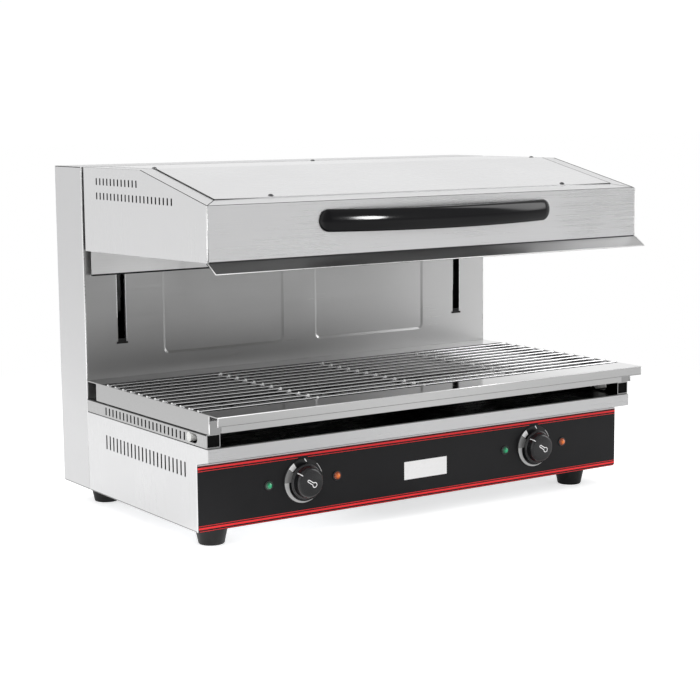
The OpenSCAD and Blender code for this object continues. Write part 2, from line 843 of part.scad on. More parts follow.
// Back cover with two fields of cooling slots
module back_cover() {
    rows = 5;
    slot_l = 60;
    field_pitch = 90;
    low_field = column_h * 0.2;
    high_field = column_h * 0.78;
    place() color("silver") difference() {
        block([-half_w, column_d - cover_t, 0], [half_w, column_d, column_h]);
        for (p = back_screw_places) translate([p.x, 0, p.y])
            rod_y_dir(column_d - cover_t - 1, column_d + 1, screw_r + fit_gap);
        for (z = [low_field, high_field], i = [0 : rows - 1], k = [-1.5 : 1 : 1.5])
            translate([k * field_pitch, column_d, z + i * vent_pitch])
                block([-slot_l / 2, -cover_t - 1, 0], [slot_l / 2, 1, vent_w]);
        translate([gland_x, 0, gland_z]) rod_y_dir(column_d - 10, column_d + 1, gland_neck_r + fit_gap);
    }
}

module back_screws() {
    place() color("gray") for (p = back_screw_places) translate([p.x, column_d, p.y])
        rotate([-90, 0, 0]) pan_screw(6);
}

gland_x = half_w - gland_inset;
gland_neck_r = gland_bore_r + 2;

// Cable gland: a threaded neck through the cover, a hexagon body, a round cap and a lock nut
module cable_gland() {
    place() color([0.15, 0.15, 0.15]) translate([gland_x, column_d, gland_z]) rotate([-90, 0, 0])
        difference() {
            nut_h = 5;
            neck_in = 9;
            cap_r = gland_neck_r + 3;
            ribs = 12;
            union() {
                translate([0, 0, -cover_t - neck_in])
                    cylinder(h = cover_t + neck_in + 1, r = gland_neck_r);
                translate([0, 0, -cover_t - nut_h]) cylinder(h = nut_h, r = gland_neck_r + 4, $fn = 6);
                cylinder(h = nut_h, r = gland_neck_r + 4.5, $fn = 6);
                rotate_extrude() polygon([
                    [0, nut_h], [cap_r, nut_h], [cap_r, gland_out - 3],
                    [gland_neck_r, gland_out], [0, gland_out]
                ]);
            }
            translate([0, 0, -cover_t - 2 * neck_in])
                cylinder(h = gland_out + cover_t + 3 * neck_in, r = gland_bore_r);
            for (i = [0 : ribs - 1]) rotate([0, 0, i * 360 / ribs]) translate([cap_r + 0.4, 0, nut_h + 1])
                cylinder(h = gland_out, r = 1, $fn = 16);
        }
}

// Rubber stops at the slots' lower ends: a web in the slot, a lip in front and a flange behind
module slot_stops() {
    lap = 2;
    flange_t = 2;
    lip_t = 3;
    place() color([0.05, 0.05, 0.05]) both_sides() translate([arm_x, 0, slot_z]) {
        block([-slot_w / 2, -tiny, 0], [slot_w / 2, sheet_t + flange_t, stop_h]);
        block([-slot_w / 2 - lap, -flange_t, 0], [slot_w / 2 + lap, 0, lip_t]);
        block([-slot_w / 2 - lap, sheet_t, -2 * lap], [slot_w / 2 + lap, sheet_t + flange_t, tiny]);
    }
}

// ---------------------------------------------------------------- lift

module guide_rods() {
    place() color("whitesmoke") both_sides() translate([arm_x, rod_y, low_rail_top - rod_rail_t])
        cylinder(h = rod_rail_z + rod_rail_t - low_rail_top + rod_rail_t, r = rod_r);
}

// A rail across the column: a flat bar with holes for the rods and a flange on the front wall
module rod_rail(z, flange_down) {
    reach = arm_x + carriage_w / 2 + 8;
    difference() {
        union() {
            block([-reach, sheet_t, z], [reach, rod_y + rod_r + 10, z + rod_rail_t]);
            block([-reach, sheet_t, z - (flange_down ? rail_flange_h : 0)],
                  [reach, sheet_t + rail_flange_t, z + (flange_down ? rod_rail_t : rail_flange_h)]);
        }
        both_sides() translate([arm_x, rod_y, z - 1])
            cylinder(h = rod_rail_t + 2, r = rod_r + fit_gap / 2);
    }
}

module rod_rail_top() {
    place() color("silver") difference() {
        union() {
            rod_rail(rod_rail_z, false);
            both_sides() spring_lug(rod_rail_z - lug_h, lug_h + tiny);
        }
        both_sides() translate([spring_x, rod_y, rod_rail_z - lug_h + lug_edge])
            rod_x(-lug_t, lug_t, lug_hole_r);
    }
}

module rod_rail_bottom() {
    place() color("silver") rod_rail(low_rail_top - rod_rail_t, true);
}

lug_h = 14;
lug_half_d = 9;
lug_edge = lug_h / 2;

// Eye plate for a spring hook
module spring_lug(z, h) {
    block([spring_x - lug_t / 2, rod_y - lug_half_d, z],
          [spring_x + lug_t / 2, rod_y + lug_half_d, z + h]);
}

// Cross bar that makes both carriages move together
module sync_bar() {
    x = arm_x - carriage_w / 2;
    d = sync_h / 2;
    place() color("silver") difference() {
        union() {
            difference() {
                block([-x, rod_y - d, sync_z], [x, rod_y + d, sync_z + sync_h]);
                block([-x - 1, rod_y - d + sync_wall, sync_z + sync_wall],
                      [x + 1, rod_y + d - sync_wall, sync_z + sync_h - sync_wall]);
            }
            both_sides() spring_lug(sync_z + sync_h - tiny, lug_h);
        }
        both_sides() translate([spring_x, rod_y, sync_z + sync_h + lug_h - lug_edge])
            rod_x(-lug_t, lug_t, lug_hole_r);
    }
}

// Close-wound balance spring: a stack of coils with a round hook at each end
module balance_spring() {
    play = lug_hole_r - spring_wire_r - slide_gap;
    low_hook_z = sync_z + sync_h + lug_h - lug_edge + play + hook_r;
    high_hook_z = rod_rail_z - lug_h + lug_edge - play - hook_r;
    z0 = low_hook_z + hook_r;
    z1 = high_hook_z - hook_r;
    coils = floor((z1 - z0) / (2 * spring_wire_r));
    pitch = (z1 - z0) / coils;
    rotate_extrude() for (i = [0 : coils])
        translate([spring_r, z0 + i * pitch]) circle(spring_wire_r * 1.04, $fn = 24);
    for (z = [low_hook_z, high_hook_z]) translate([0, 0, z]) rotate([90, 0, 0])
        rotate_extrude() translate([hook_r, 0]) circle(spring_wire_r, $fn = 24);
    for (z = [z0, z1]) translate([0, 0, z]) rod_x(-spring_r, spring_r, spring_wire_r);
}

module balance_springs() {
    place() color("darkgray") both_sides() translate([spring_x, rod_y, 0]) balance_spring();
}

module carriages() {
    place() color("lightsteelblue") both_sides() translate([arm_x, rod_y, carriage_z]) difference() {
        translate([-carriage_w / 2, -carriage_w / 2, 0]) cube([carriage_w, carriage_w, carriage_h]);
        translate([0, 0, -1]) cylinder(h = carriage_h + 2, r = rod_r + bush_wall + fit_gap);
    }
}

module carriage_bushes() {
    place() color("goldenrod") both_sides() for (z = [carriage_z, carriage_top - bush_l])
        translate([arm_x, rod_y, z]) difference() {
            cylinder(h = bush_l, r = rod_r + bush_wall);
            translate([0, 0, -1]) cylinder(h = bush_l + 2, r = rod_r + 0.06);
        }
}

// Arm plate: a leg on the carriage, a tongue through the slot and a pad on the hood's back
module lift_arm() {
    leg_y = 3 * sheet_t + rail_flange_t + 1.5;
    difference() {
        union() {
            block([arm_x - arm_t / 2, leg_y, leg_low], [arm_x + arm_t / 2, carriage_y, carriage_top]);
            block([arm_x - arm_t / 2, -hood_gap, arm_low], [arm_x + arm_t / 2, carriage_y, arm_high]);
            block([arm_x - pad_w / 2, -hood_gap, arm_low], [arm_x + pad_w / 2, -hood_gap + pad_t, arm_high]);
        }
        for (p = arm_bolt_places) translate([p.x, 0, p.y])
            rod_y_dir(-hood_gap - 1, -hood_gap + pad_t + 1, bolt_r + fit_gap);
    }
}

pad_w = 36;
pad_t = 3;
bolt_r = 3;
bolt_head_h = 4;
bolt_inset = 15;
arm_bolt_places = [
    for (s = [-1, 1], z = [arm_low + bolt_inset, arm_high - bolt_inset])
        [arm_x + s * (pad_w + arm_t) / 4 + s * 0.5, z]
];

module lift_arms() {
    place() color("gainsboro") both_sides() lift_arm();
}

module arm_bolts() {
    place() color("gray") both_sides() for (p = arm_bolt_places) translate([p.x, -hood_gap, p.y]) {
        rod_y_dir(-sheet_t - tiny, pad_t, bolt_r);
        translate([0, -sheet_t, 0]) rotate([90, 0, 0])
            cylinder(h = bolt_head_h, r = hex_ratio * bolt_r, $fn = 6);
    }
}

// ---------------------------------------------------------------- hood

// Side outline of the hood in (Y, Z), moved inwards by d
function hood_outline(d, rear, bottom) = [
    [rear, bottom - hood_side_fall], [rear, column_h - d],
    [-hood_fold + d * tan(slope_angle / 2), column_h - d],
    [-hood_reach + d, hood_z + hood_front_h - d * cos(slope_angle) / (1 + sin(slope_angle))],
    [-hood_reach + d, bottom]
];

// Solid of the hood's outside, moved inwards by d
module hood_solid(d, rear, bottom, r) {
    intersection() {
        along_x(-hood_half + d, hood_half - d) polygon(hood_outline(d, rear, bottom));
        rounded_front(hood_half - d, -hood_reach + d, rear + 1, bottom - hood_side_fall - 1,
                      column_h + 1, r);
    }
}

// Hood shell: front, sides and a top frame in one folded sheet, open below and behind
module hood_shell() {
    opening = lid_border + lid_lap;
    place() color("silver") difference() {
        hood_solid(0, -hood_gap, hood_z, bend_r);
        hood_solid(sheet_t, -hood_gap + 1, hood_z - 1, inner_bend_r);
        // Opening under the lid
        block([-hood_half + opening, -hood_reach + opening, hood_z + 20],
              [hood_half - opening, -hood_gap - opening, column_h + 1]);
        both_sides() {
            vent_row(hood_inner_x - 1, hood_half + 1, hood_vent_first, hood_fold - 0.7 * vent_pitch,
                     hood_vent_z, hood_vent_h);
            vent_row(hood_inner_x - 1, hood_half + 1, hood_vent_first, hood_reach - 8.2 * vent_pitch,
                     hood_vent_z - hood_vent_h - hood_vent_gap, hood_vent_h);
        }
        hood_seams();
        lid_screw_holes(5);
    }
}

hood_vent_gap = 11.5;
hood_vent_z = column_h - 26;
seam_edge = 2;

// Seams of the folded top: along the sides and the front, and a mitre at each front corner
module hood_seams() {
    w = seam_groove_w;
    edge = hood_half - seam_edge;
    front = -hood_reach + seam_edge;
    intersection() {
        along_x(-half_w, half_w) difference() {
            polygon(hood_outline(-1, -hood_gap + 1, hood_z));
            polygon(hood_outline(seam_groove_d, -hood_gap + 2, hood_z - 1));
        }
        translate([0, 0, hood_z]) linear_extrude(hood_h + 2) {
            translate([-edge, front]) square([2 * edge, w]);
            for (s = [-1, 1]) {
                translate([s > 0 ? edge - w : -edge, front]) square([w, hood_reach - hood_gap + 1]);
                translate([s * edge, front]) rotate(s > 0 ? 135 : 45) translate([0, -w / 2])
                    square([(lid_border + 1) * sqrt(2), w]);
            }
        }
    }
}

// Places of the lid's screws: distance across, distance from the column
lid_front_y = -hood_reach + lid_border;
lid_rear_y = -hood_gap - lid_border;
lid_half = hood_half - lid_border;
lid_screw_edge = lid_lap / 2 + 0.5;
slope_screw_y = lid_front_y + lid_screw_edge;
slope_screw_z = column_h - (-slope_screw_y - hood_fold) * tan(slope_angle);
lid_screw_x = 0.74 * lid_half;

// Puts its children at each lid screw, with +Z out of the lid's surface
module at_lid_screws() {
    for (x = [-lid_screw_x, lid_screw_x])
        translate([x, slope_screw_y, slope_screw_z]) rotate([slope_angle, 0, 0]) children();
    for (x = [-lid_half + lid_screw_edge, lid_half - lid_screw_edge])
        translate([x, -hood_fold + 20, column_h]) children();
    translate([0, lid_rear_y - lid_screw_edge, column_h]) children();
}

module lid_screw_holes(depth) {
    at_lid_screws() translate([0, 0, -depth]) cylinder(h = 2 * depth, r = screw_r + fit_gap);
}

// Lid: folded like the hood's top and screwed down on its frame
module hood_lid() {
    place() color("whitesmoke") difference() {
        intersection() {
            along_x(-lid_half, lid_half) difference() {
                polygon(hood_outline(-lid_t, lid_rear_y, hood_z));
                polygon(hood_outline(0, lid_rear_y + 1, hood_z - 1));
            }
            block([-half_w, lid_front_y, hood_z], [half_w, lid_rear_y, column_h + 10]);
        }
        lid_screw_holes(4);
    }
}

module lid_screws() {
    place() color("gray") at_lid_screws() translate([0, 0, lid_t]) pan_screw(4 + lid_t);
}

// Back wall of the hood, continued downwards as the rear skirt
module hood_back() {
    skirt_half = hood_half - rear_skirt_inset;
    place() color("silver") difference() {
        union() {
            block([-hood_inner_x, -hood_gap - sheet_t, hood_z],
                  [hood_inner_x, -hood_gap, column_h - sheet_t]);
            block([-skirt_half, -hood_gap - sheet_t, hood_z - rear_skirt_drop],
                  [skirt_half, -hood_gap, hood_z + 1]);
        }
        both_sides() for (p = arm_bolt_places) translate([p.x, 0, p.y])
            rod_y_dir(-hood_gap - sheet_t - 1, -hood_gap + 1, bolt_r + fit_gap);
    }
}

reflector_half = hood_half - reflector_inset;
reflector_front_gap = 42;
reflector_back_gap = 32;
reflector_front = -hood_reach + reflector_front_gap;
reflector_back = -hood_gap - reflector_back_gap;

// Floor frame of the hood, round the opening below the heaters
module hood_floor() {
    place() color("silver") difference() {
        rounded_front(hood_inner_x, -hood_reach + sheet_t, -hood_gap - sheet_t, hood_z, hood_z + sheet_t,
                      inner_bend_r);
        block([-reflector_half, reflector_front, hood_z - 1],
              [reflector_half, reflector_back, hood_z + sheet_t + 1]);
    }
}

// Flared skirt under the hood's front, with an upright edge behind the front face
module front_skirt() {
    angle = atan(flare_drop / flare_out);
    t = 1.2;
    place() color("dimgray") along_x(-hood_half, hood_half) polygon([
        [-hood_reach + sheet_t + t, hood_z - tiny], [-hood_reach, hood_z - tiny],
        [-hood_reach - flare_out, hood_z - flare_drop],
        [-hood_reach - flare_out + t * sin(angle), hood_z - flare_drop - t * cos(angle)],
        [-hood_reach + sheet_t + t, hood_z - 1.6 * t]
    ]);
}

// Points of one ring of the handle's bar, a rounded rectangle in (Y, Z)
function handle_section(t, h) = [
    for (k = [0 : handle_ring - 1])
        let (a = 360 * k / handle_ring, n = 0.55)
            [t / 2 * sign(cos(a)) * pow(abs(cos(a)), n), h / 2 * sign(sin(a)) * pow(abs(sin(a)), n)]
];

// Half height of the handle seen from the front: straight, with round ends
function handle_half_h(x) =
    let (r = handle_h / 2, over = max(0, abs(x) - (handle_w / 2 - r)))
        sqrt(max(r * r - over * over, 0.04));

// Distance of the bar's outer face from the hood's face, along a circular arc
function handle_out(x) =
    let (chord = handle_w / 2, end_out = 7, rise = handle_bow - end_out,
         radius = (chord * chord + rise * rise) / (2 * rise))
        end_out + sqrt(radius * radius - x * x) - (radius - rise);

// Bowed handle, lofted along its arc and cut flat where its ends meet the hood
module handle() {
    xs = [for (i = [0 : handle_steps]) -handle_w / 2 * cos(180 * i / handle_steps)];
    rings = [for (x = xs)
        let (out = handle_out(x), section = handle_section(handle_t, 2 * handle_half_h(x)))
            [for (p = section)
                [x, -hood_reach - out + handle_t / 2 + p.x,
                 hood_z + handle_rise + p.y - tan(handle_droop) * out]]
    ];
    n = handle_ring;
    sides = [for (i = [0 : handle_steps - 1], k = [0 : n - 1])
        let (a = i * n + k, b = i * n + (k + 1) % n) [a, b, b + n, a + n]];
    ends = [[for (k = [n - 1 : -1 : 0]) k], [for (k = [0 : n - 1]) handle_steps * n + k]];
    place() color([0.05, 0.05, 0.05]) intersection() {
        polyhedron(points = [for (r = rings) each r], faces = concat(sides, ends), convexity = 6);
        block([-handle_w, -hood_reach - 2 * handle_bow, hood_z], [handle_w, -hood_reach, column_h]);
    }
}

// ---------------------------------------------------------------- heaters

// Reflector: an upturned pan whose rim lies on the hood's floor frame
module reflector() {
    z = hood_z + sheet_t;
    rim = 12;
    place() color("gainsboro") difference() {
        union() {
            block([-reflector_half - rim, reflector_front - rim, z],
                  [reflector_half + rim, reflector_back + rim, z + reflector_t]);
            block([-reflector_half - reflector_t, reflector_front - reflector_t, z],
                  [reflector_half + reflector_t, reflector_back + reflector_t, z + reflector_h]);
        }
        block([-reflector_half, reflector_front, z - 1],
              [reflector_half, reflector_back, z + reflector_h - reflector_t]);
        both_sides() for (y = element_end_ys) translate([reflector_half, y, element_z])
            rod_x(-1, reflector_t + 1, element_r + fit_gap);
    }
}

element_z = hood_z + sheet_t + 12;
element_y0 = (reflector_front + reflector_back) / 2 - (element_runs - 1) * element_pitch / 2;
element_ys = [for (i = [0 : element_runs - 1]) element_y0 + i * element_pitch];
element_end_ys = [element_ys[0], element_ys[element_runs - 1]];
element_stub = 20;
element_near = 14;
element_far = reflector_half - 14 - element_pitch / 2;

// Heating element of one half: straight runs joined by round bends, with both ends at the side
module heating_element() {
    inner = element_near + element_pitch / 2;
    translate([0, 0, element_z]) {
        for (i = [0 : element_runs - 1]) {
            is_end = i == 0 || i == element_runs - 1;
            translate([0, element_ys[i], 0])
                rod_x(inner, is_end ? reflector_half + element_stub : element_far, element_r);
        }
        for (i = [0 : element_runs - 2]) {
            near_bend = i % 2 == 0;
            translate([near_bend ? inner : element_far, element_ys[i] + element_pitch / 2, 0])
                rotate([0, 0, near_bend ? 90 : -90]) rotate_extrude(angle = 180)
                    translate([element_pitch / 2, 0]) circle(element_r);
        }
    }
}

module element_left() {
    place() color("dimgray") mirror([1, 0, 0]) heating_element();
}

module element_right() {
    place() color("dimgray") heating_element();
}

// Hanger plates under the reflector's top, with a hole for each run
module element_hangers() {
    z1 = hood_z + sheet_t + reflector_h - reflector_t;
    t = 1.5;
    margin = 10;
    place() color("silver") both_sides()
        for (x = [reflector_half * 0.27, reflector_half * 0.73]) difference() {
            block([x - t / 2, element_ys[0] - margin, element_z - element_r - 3],
                  [x + t / 2, element_ys[element_runs - 1] + margin, z1]);
            for (y = element_ys) translate([x, y, element_z]) rod_x(-t, t, element_r + fit_gap);
        }
}

base_side_left();
base_side_right();
base_front();
base_bottom();
deck_plate();
control_panel();
dial_plates();
green_lamps();
orange_lamps();
lamp_bezels();
regulators();
terminal_block();
feet();
foot_nuts();
runner_left();
runner_right();
glide_buttons();
runner_pegs();
runner_plugs();
column_shell();
column_bottom();
back_cover();
back_screws();
cable_gland();
slot_stops();
guide_rods();
rod_rail_top();
rod_rail_bottom();
balance_springs();
knob_left();
spindle_left();
knob_right();
spindle_right();
drip_tray();
wire_rack();
hood_shell();
hood_lid();
lid_screws();
hood_back();
hood_floor();
front_skirt();
handle();
reflector();
element_left();
element_right();
element_hangers();
lift_arms();
arm_bolts();
carriages();
carriage_bushes();
sync_bar();
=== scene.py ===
"""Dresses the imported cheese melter: materials, prints, trim, handle, rack welds, camera, studio."""
import math

import bmesh
import bpy
from mathutils import Matrix, Vector


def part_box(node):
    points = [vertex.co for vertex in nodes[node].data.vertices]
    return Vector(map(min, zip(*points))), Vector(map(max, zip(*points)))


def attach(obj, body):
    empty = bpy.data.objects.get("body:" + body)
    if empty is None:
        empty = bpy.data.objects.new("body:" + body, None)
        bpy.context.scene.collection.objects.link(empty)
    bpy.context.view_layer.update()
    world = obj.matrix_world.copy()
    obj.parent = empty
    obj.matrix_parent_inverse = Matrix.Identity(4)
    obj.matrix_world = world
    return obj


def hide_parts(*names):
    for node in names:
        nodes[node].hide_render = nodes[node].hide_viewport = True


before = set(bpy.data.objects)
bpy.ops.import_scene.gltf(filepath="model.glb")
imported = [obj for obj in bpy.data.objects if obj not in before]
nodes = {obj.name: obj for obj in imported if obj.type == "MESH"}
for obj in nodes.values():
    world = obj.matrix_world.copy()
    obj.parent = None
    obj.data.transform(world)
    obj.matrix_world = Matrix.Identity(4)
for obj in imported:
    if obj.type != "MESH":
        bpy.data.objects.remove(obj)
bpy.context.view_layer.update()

MM = 0.001


def box_mm(node):
    """Lowest and highest corner of a CAD node, in millimetres."""
    low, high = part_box(node)
    return low / MM, high / MM


# ------------------------------ machine frame
# Lengths below are in millimetres from the column's front wall (y), the middle (x) and the
# underside of the base (z). SHIFT takes them into the row's frame.
panel_low, panel_high = box_mm("control_panel")
knob_low, knob_high = box_mm("knob_right")
hood_low, hood_high = box_mm("hood_shell")
column_low, column_high = box_mm("column_shell")
SHIFT = Vector((0, column_low.y, column_low.z))
PANEL_Y = panel_low.y - SHIFT.y
PANEL_TOP = panel_high.z - SHIFT.z
PANEL_HALF = panel_high.x
KNOB_X = (knob_low.x + knob_high.x) / 2
KNOB_Z = (knob_low.z + knob_high.z) / 2 - SHIFT.z
HOOD_FRONT = hood_low.y - SHIFT.y
HOOD_BOTTOM = hood_low.z - SHIFT.z


def at(x, y, z):
    """A point of the machine frame, in metres in the row's frame."""
    return (Vector((x, y, z)) + SHIFT) * MM


# ------------------------------ node trees
# The part of a face's direction on an axis from which the face counts as looking along it
STEEP = 0.7
# The first of a mix node's two inputs, and its output, by its kind
MIX_SOCKETS = {"FLOAT": (2, 0), "RGBA": (6, 2)}


class Nodes:
    """Short calls that add nodes to one tree."""

    def __init__(self, tree):
        self.tree = tree

    def add(self, kind, **settings):
        node = self.tree.nodes.new(kind)
        for key, value in settings.items():
            setattr(node, key, value)
        return node

    def feed(self, socket, value):
        """Links an output to the socket, or sets it to a number, a vector or a tuple's colour."""
        if isinstance(value, bpy.types.NodeSocket):
            self.tree.links.new(value, socket)
        else:
            socket.default_value = (*value, 1) if isinstance(value, tuple) else value

    def math(self, operation, *values):
        node = self.add("ShaderNodeMath", operation=operation)
        for socket, value in zip(node.inputs, values):
            self.feed(socket, value)
        return node.outputs["Value"]

    def dot(self, vector, axis):
        node = self.add("ShaderNodeVectorMath", operation="DOT_PRODUCT")
        self.feed(node.inputs[0], vector)
        self.feed(node.inputs[1], axis)
        return node.outputs["Value"]

    def split(self, vector):
        """Outputs X, Y and Z of a vector."""
        node = self.add("ShaderNodeSeparateXYZ")
        self.feed(node.inputs["Vector"], vector)
        return node.outputs

    def ramp(self, value, low, high, low_value=0.0, high_value=1.0, shape="LINEAR"):
        """Maps value from low..high to low_value..high_value."""
        node = self.add("ShaderNodeMapRange", interpolation_type=shape)
        for name, source in (("Value", value), ("From Min", low), ("From Max", high),
                             ("To Min", low_value), ("To Max", high_value)):
            self.feed(node.inputs[name], source)
        return node.outputs["Result"]

    def mix(self, factor, low, high, kind="FLOAT"):
        """A number between two numbers, by a factor, or a colour where the kind is RGBA."""
        node = self.add("ShaderNodeMix", data_type=kind)
        first, result = MIX_SOCKETS[kind]
        for index, value in ((0, factor), (first, low), (first + 1, high)):
            self.feed(node.inputs[index], value)
        return node.outputs[result]

    def blend(self, factor, low, high):
        """A colour between two colours or colour outputs, by a factor."""
        return self.mix(factor, low, high, "RGBA")


class Shader(Nodes):
    """A material with a Principled BSDF, and short calls that wire it."""

    def __init__(self, name, color, roughness, metallic=0.0):
        self.material = bpy.data.materials.new(name)
        self.material.use_nodes = True
        super().__init__(self.material.node_tree)
        self.bsdf = self.tree.nodes["Principled BSDF"]
        self.set("Base Color", color)
        self.set("Roughness", roughness)
        self.set("Metallic", metallic)
        self.coordinate = self.add("ShaderNodeTexCoord").outputs["Object"]

    def set(self, name, value):
        """Sets one of the shader's sockets, or links an output to it."""
        self.feed(self.bsdf.inputs[name], value)

    def noise(self, scale, detail=3.0, stretch=(1, 1, 1), rough=0.5):
        mapping = self.add("ShaderNodeMapping")
        mapping.inputs["Scale"].default_value = stretch
        self.feed(mapping.inputs["Vector"], self.coordinate)
        noise = self.add("ShaderNodeTexNoise")
        for name, value in (("Vector", mapping.outputs["Vector"]), ("Scale", scale),
                            ("Detail", detail), ("Roughness", rough)):
            self.feed(noise.inputs[name], value)
        return noise.outputs["Fac"]

    def cells(self, scale):
        """Outputs of a pattern of cells."""
        node = self.add("ShaderNodeTexVoronoi", feature="F1")
        self.feed(node.inputs["Scale"], scale)
        self.feed(node.inputs["Vector"], self.coordinate)
        return node.outputs

    def facing(self):
        """Outputs X, Y and Z of the face's direction."""
        return self.split(self.add("ShaderNodeNewGeometry").outputs["Normal"])

    def place(self):
        """Outputs X, Y and Z of the place on the object."""
        return self.split(self.coordinate)

    def looks(self, part, way=0):
        """1 where faces look along an axis, by their direction's part on it: way is 1 or -1 for
        one side only, and 0 for both."""
        if way < 0:
            return self.math("LESS_THAN", part, -STEEP)
        return self.math("GREATER_THAN", part if way else self.math("ABSOLUTE", part), STEEP)

    def bump(self, height, strength, distance):
        node = self.add("ShaderNodeBump")
        for name, value in (("Strength", strength), ("Distance", distance), ("Height", height)):
            self.feed(node.inputs[name], value)
        self.set("Normal", node.outputs["Normal"])


# ------------------------------ materials
# Scale of the brush lines along themselves and across
ALONG, ACROSS = 6, 900
# How far behind a sheet's ends the painted shade on its slots' cut edges begins, in metres
SLOT_START = 0.005
# Tray, in metres: the pan's start below its rim, the corner strips' start from the middle, and
# how far they stand back from the lip
PAN_DEPTH, STRIP_X, STRIP_BACK = 0.006, 0.3805, 0.003


def grey(level):
    return (level, level, level)


def steel(level):
    """The grey of bare steel, a touch cooler than neutral."""
    return (level, level, level + 0.005)


def scaled(color, factor):
    return tuple(min(1, channel * factor) for channel in color)


def brushed(name, color, roughness, grain=1.0, smudge=0.05, spread=0.06, front=None, inside=None,
            shade=None, slots=None):
    """Sheet steel with fine brush lines: along X, and along Z where a face looks sideways.

    front gives (colour at the left, colour at the right) of faces that look forwards: painted
    shade and reflection, darker at the left. inside is painted shade on faces that look inwards,
    behind a wall. slots names a node of this sheet, whose slots' cut edges get painted shade.
    shade takes the shader and its colour so far and gives the colour to use."""
    s = Shader(name, color, roughness, 1.0)
    across = s.noise(1, 4, (ALONG, ACROSS, ACROSS), 0.65)
    upright = s.noise(1, 4, (ACROSS, ACROSS, ALONG), 0.65)
    parts, place = s.facing(), s.place()
    lines = s.mix(s.looks(parts["X"]), across, upright)
    cloud = s.noise(5, 3, (1, 1, 1), 0.55)
    mark = s.noise(38, 2, (1, 1, 1), 0.6)
    fine = s.ramp(lines, 0.3, 0.7, -spread, spread)
    wide = s.ramp(cloud, 0.3, 0.7, -smudge, smudge)
    total = s.math("ADD", s.math("ADD", fine, wide), roughness)
    smear = s.ramp(mark, 0.62, 0.75, 0, smudge * 0.6)
    s.set("Roughness", s.math("ADD", total, smear))
    plain = s.blend(lines, scaled(color, 0.94), scaled(color, 1.05))
    # Painted shade and reflection on the faces that look forwards, darker at the left
    if front:
        front_shade = s.blend(s.ramp(place["X"], 0.05, 0.4), *front)
        plain = s.blend(s.looks(parts["Y"], -1), plain, front_shade)
    if inside:
        # Painted shade on inner faces. An inner face of a side wall looks towards the middle; that
        # of a front wall looks back
        inwards = s.math("LESS_THAN", s.math("MULTIPLY", parts["X"], place["X"]), -0.2)
        plain = s.blend(s.math("MAXIMUM", inwards, s.looks(parts["Y"], 1)), plain, inside)
    # Painted shade: the slots' cut edges, between the sheet's ends, turn near black
    if slots:
        low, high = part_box(slots)
        slot_edge_shade = s.looks(parts["Y"])
        for operation, limit in (("GREATER_THAN", low.y + SLOT_START),
                                 ("LESS_THAN", high.y - SLOT_START)):
            slot_edge_shade = s.math("MULTIPLY", slot_edge_shade, s.math(operation, place["Y"], limit))
        plain = s.blend(slot_edge_shade, plain, grey(0.02))
    if shade:
        plain = shade(s, plain)
    s.set("Base Color", plain)
    s.bump(lines, 0.05 * grain, 0.0004)
    return s.material


def tray_shade_and_reflection(s, plain):
    """Painted reflection and shade on the tray: the shelf and the pan's floor are dark at the
    left and brighter towards the right, and the corner strips under the lip's ends are darker.
    The side walls get a plain darker grey."""
    parts, place = s.facing(), s.place()
    # Painted reflection: up-facing faces dark at the left, brighter towards the right
    up = s.looks(parts["Z"], 1)
    shelf = s.blend(s.ramp(place["X"], 0.0, 0.3), grey(0.2), grey(0.7))
    plain = s.blend(up, plain, shelf)
    # Painted reflection: the pan's floor near black at the left, brighter towards the right
    low = s.math("LESS_THAN", place["Z"], TRAY_RIM - PAN_DEPTH)
    pan = s.blend(s.ramp(place["X"], 0.1, 0.34), grey(0.03), grey(0.42))
    plain = s.blend(low, plain, s.blend(up, plain, pan))
    # Painted shade on the corner strips, which stand back under the lip's ends; side walls darker
    outer = s.math("GREATER_THAN", s.math("ABSOLUTE", place["X"]), STRIP_X)
    back = s.math("MULTIPLY", outer, s.math("GREATER_THAN", place["Y"], TRAY_LIP + STRIP_BACK))
    corner = s.math("MULTIPLY", s.looks(parts["Y"], -1), back)
    plain = s.blend(corner, plain, grey(0.34))
    return s.blend(s.looks(parts["X"]), plain, grey(0.38))


def skirt_shade_ramp(s, plain):
    """Painted shade and reflection on the front skirt: dark, and lighter towards the right."""
    return s.blend(s.ramp(s.place()["X"], 0.08, 0.38), plain, grey(0.44))


def galvanised():
    """Zinc-coated sheet with its crystals, and near-black painted shade where it looks into
    the machine.
    """
    s = Shader("zinc_sheet", (0.6, 0.61, 0.63), 0.45, 1.0)
    tone = s.add("ShaderNodeSeparateColor")
    s.feed(tone.inputs["Color"], s.cells(85)["Color"])
    bright = s.blend(tone.outputs["Red"], (0.52, 0.53, 0.545), (0.63, 0.64, 0.655))
    parts = s.facing()
    # Painted shade on the faces that look up or forwards
    inner = s.math("MAXIMUM", s.looks(parts["Z"], 1), s.looks(parts["Y"], -1))
    s.set("Base Color", s.blend(inner, bright, grey(0.06)))
    s.set("Roughness", s.ramp(tone.outputs["Green"], 0, 1, 0.36, 0.56))
    s.bump(s.noise(160, 3), 0.06, 0.0004)
    return s.material


def moulded(name, color, roughness, grain=0.1, scale=900, shine=0.5):
    """Plastic or rubber with a fine moulded grain and slight wear."""
    s = Shader(name, color, roughness)
    s.set("Specular IOR Level", shine)
    cloud = s.noise(18, 3)
    s.set("Base Color", s.blend(cloud, scaled(color, 0.86), scaled(color, 1.18)))
    s.set("Roughness", s.ramp(cloud, 0.3, 0.7, roughness * 0.85, min(1, roughness * 1.2)))
    s.bump(s.noise(scale, 2), grain, 0.0003)
    return s.material


def polished(name, color, roughness):
    """Drawn and polished metal, with faint marks along it."""
    s = Shader(name, color, roughness, 1.0)
    marks = s.noise(1, 3, (30, 400, 400))
    s.set("Roughness", s.ramp(marks, 0.3, 0.7, roughness * 0.7, roughness * 1.5))
    s.set("Base Color", s.blend(s.noise(25, 2), scaled(color, 0.9), scaled(color, 1.05)))
    s.bump(marks, 0.04, 0.0002)
    return s.material


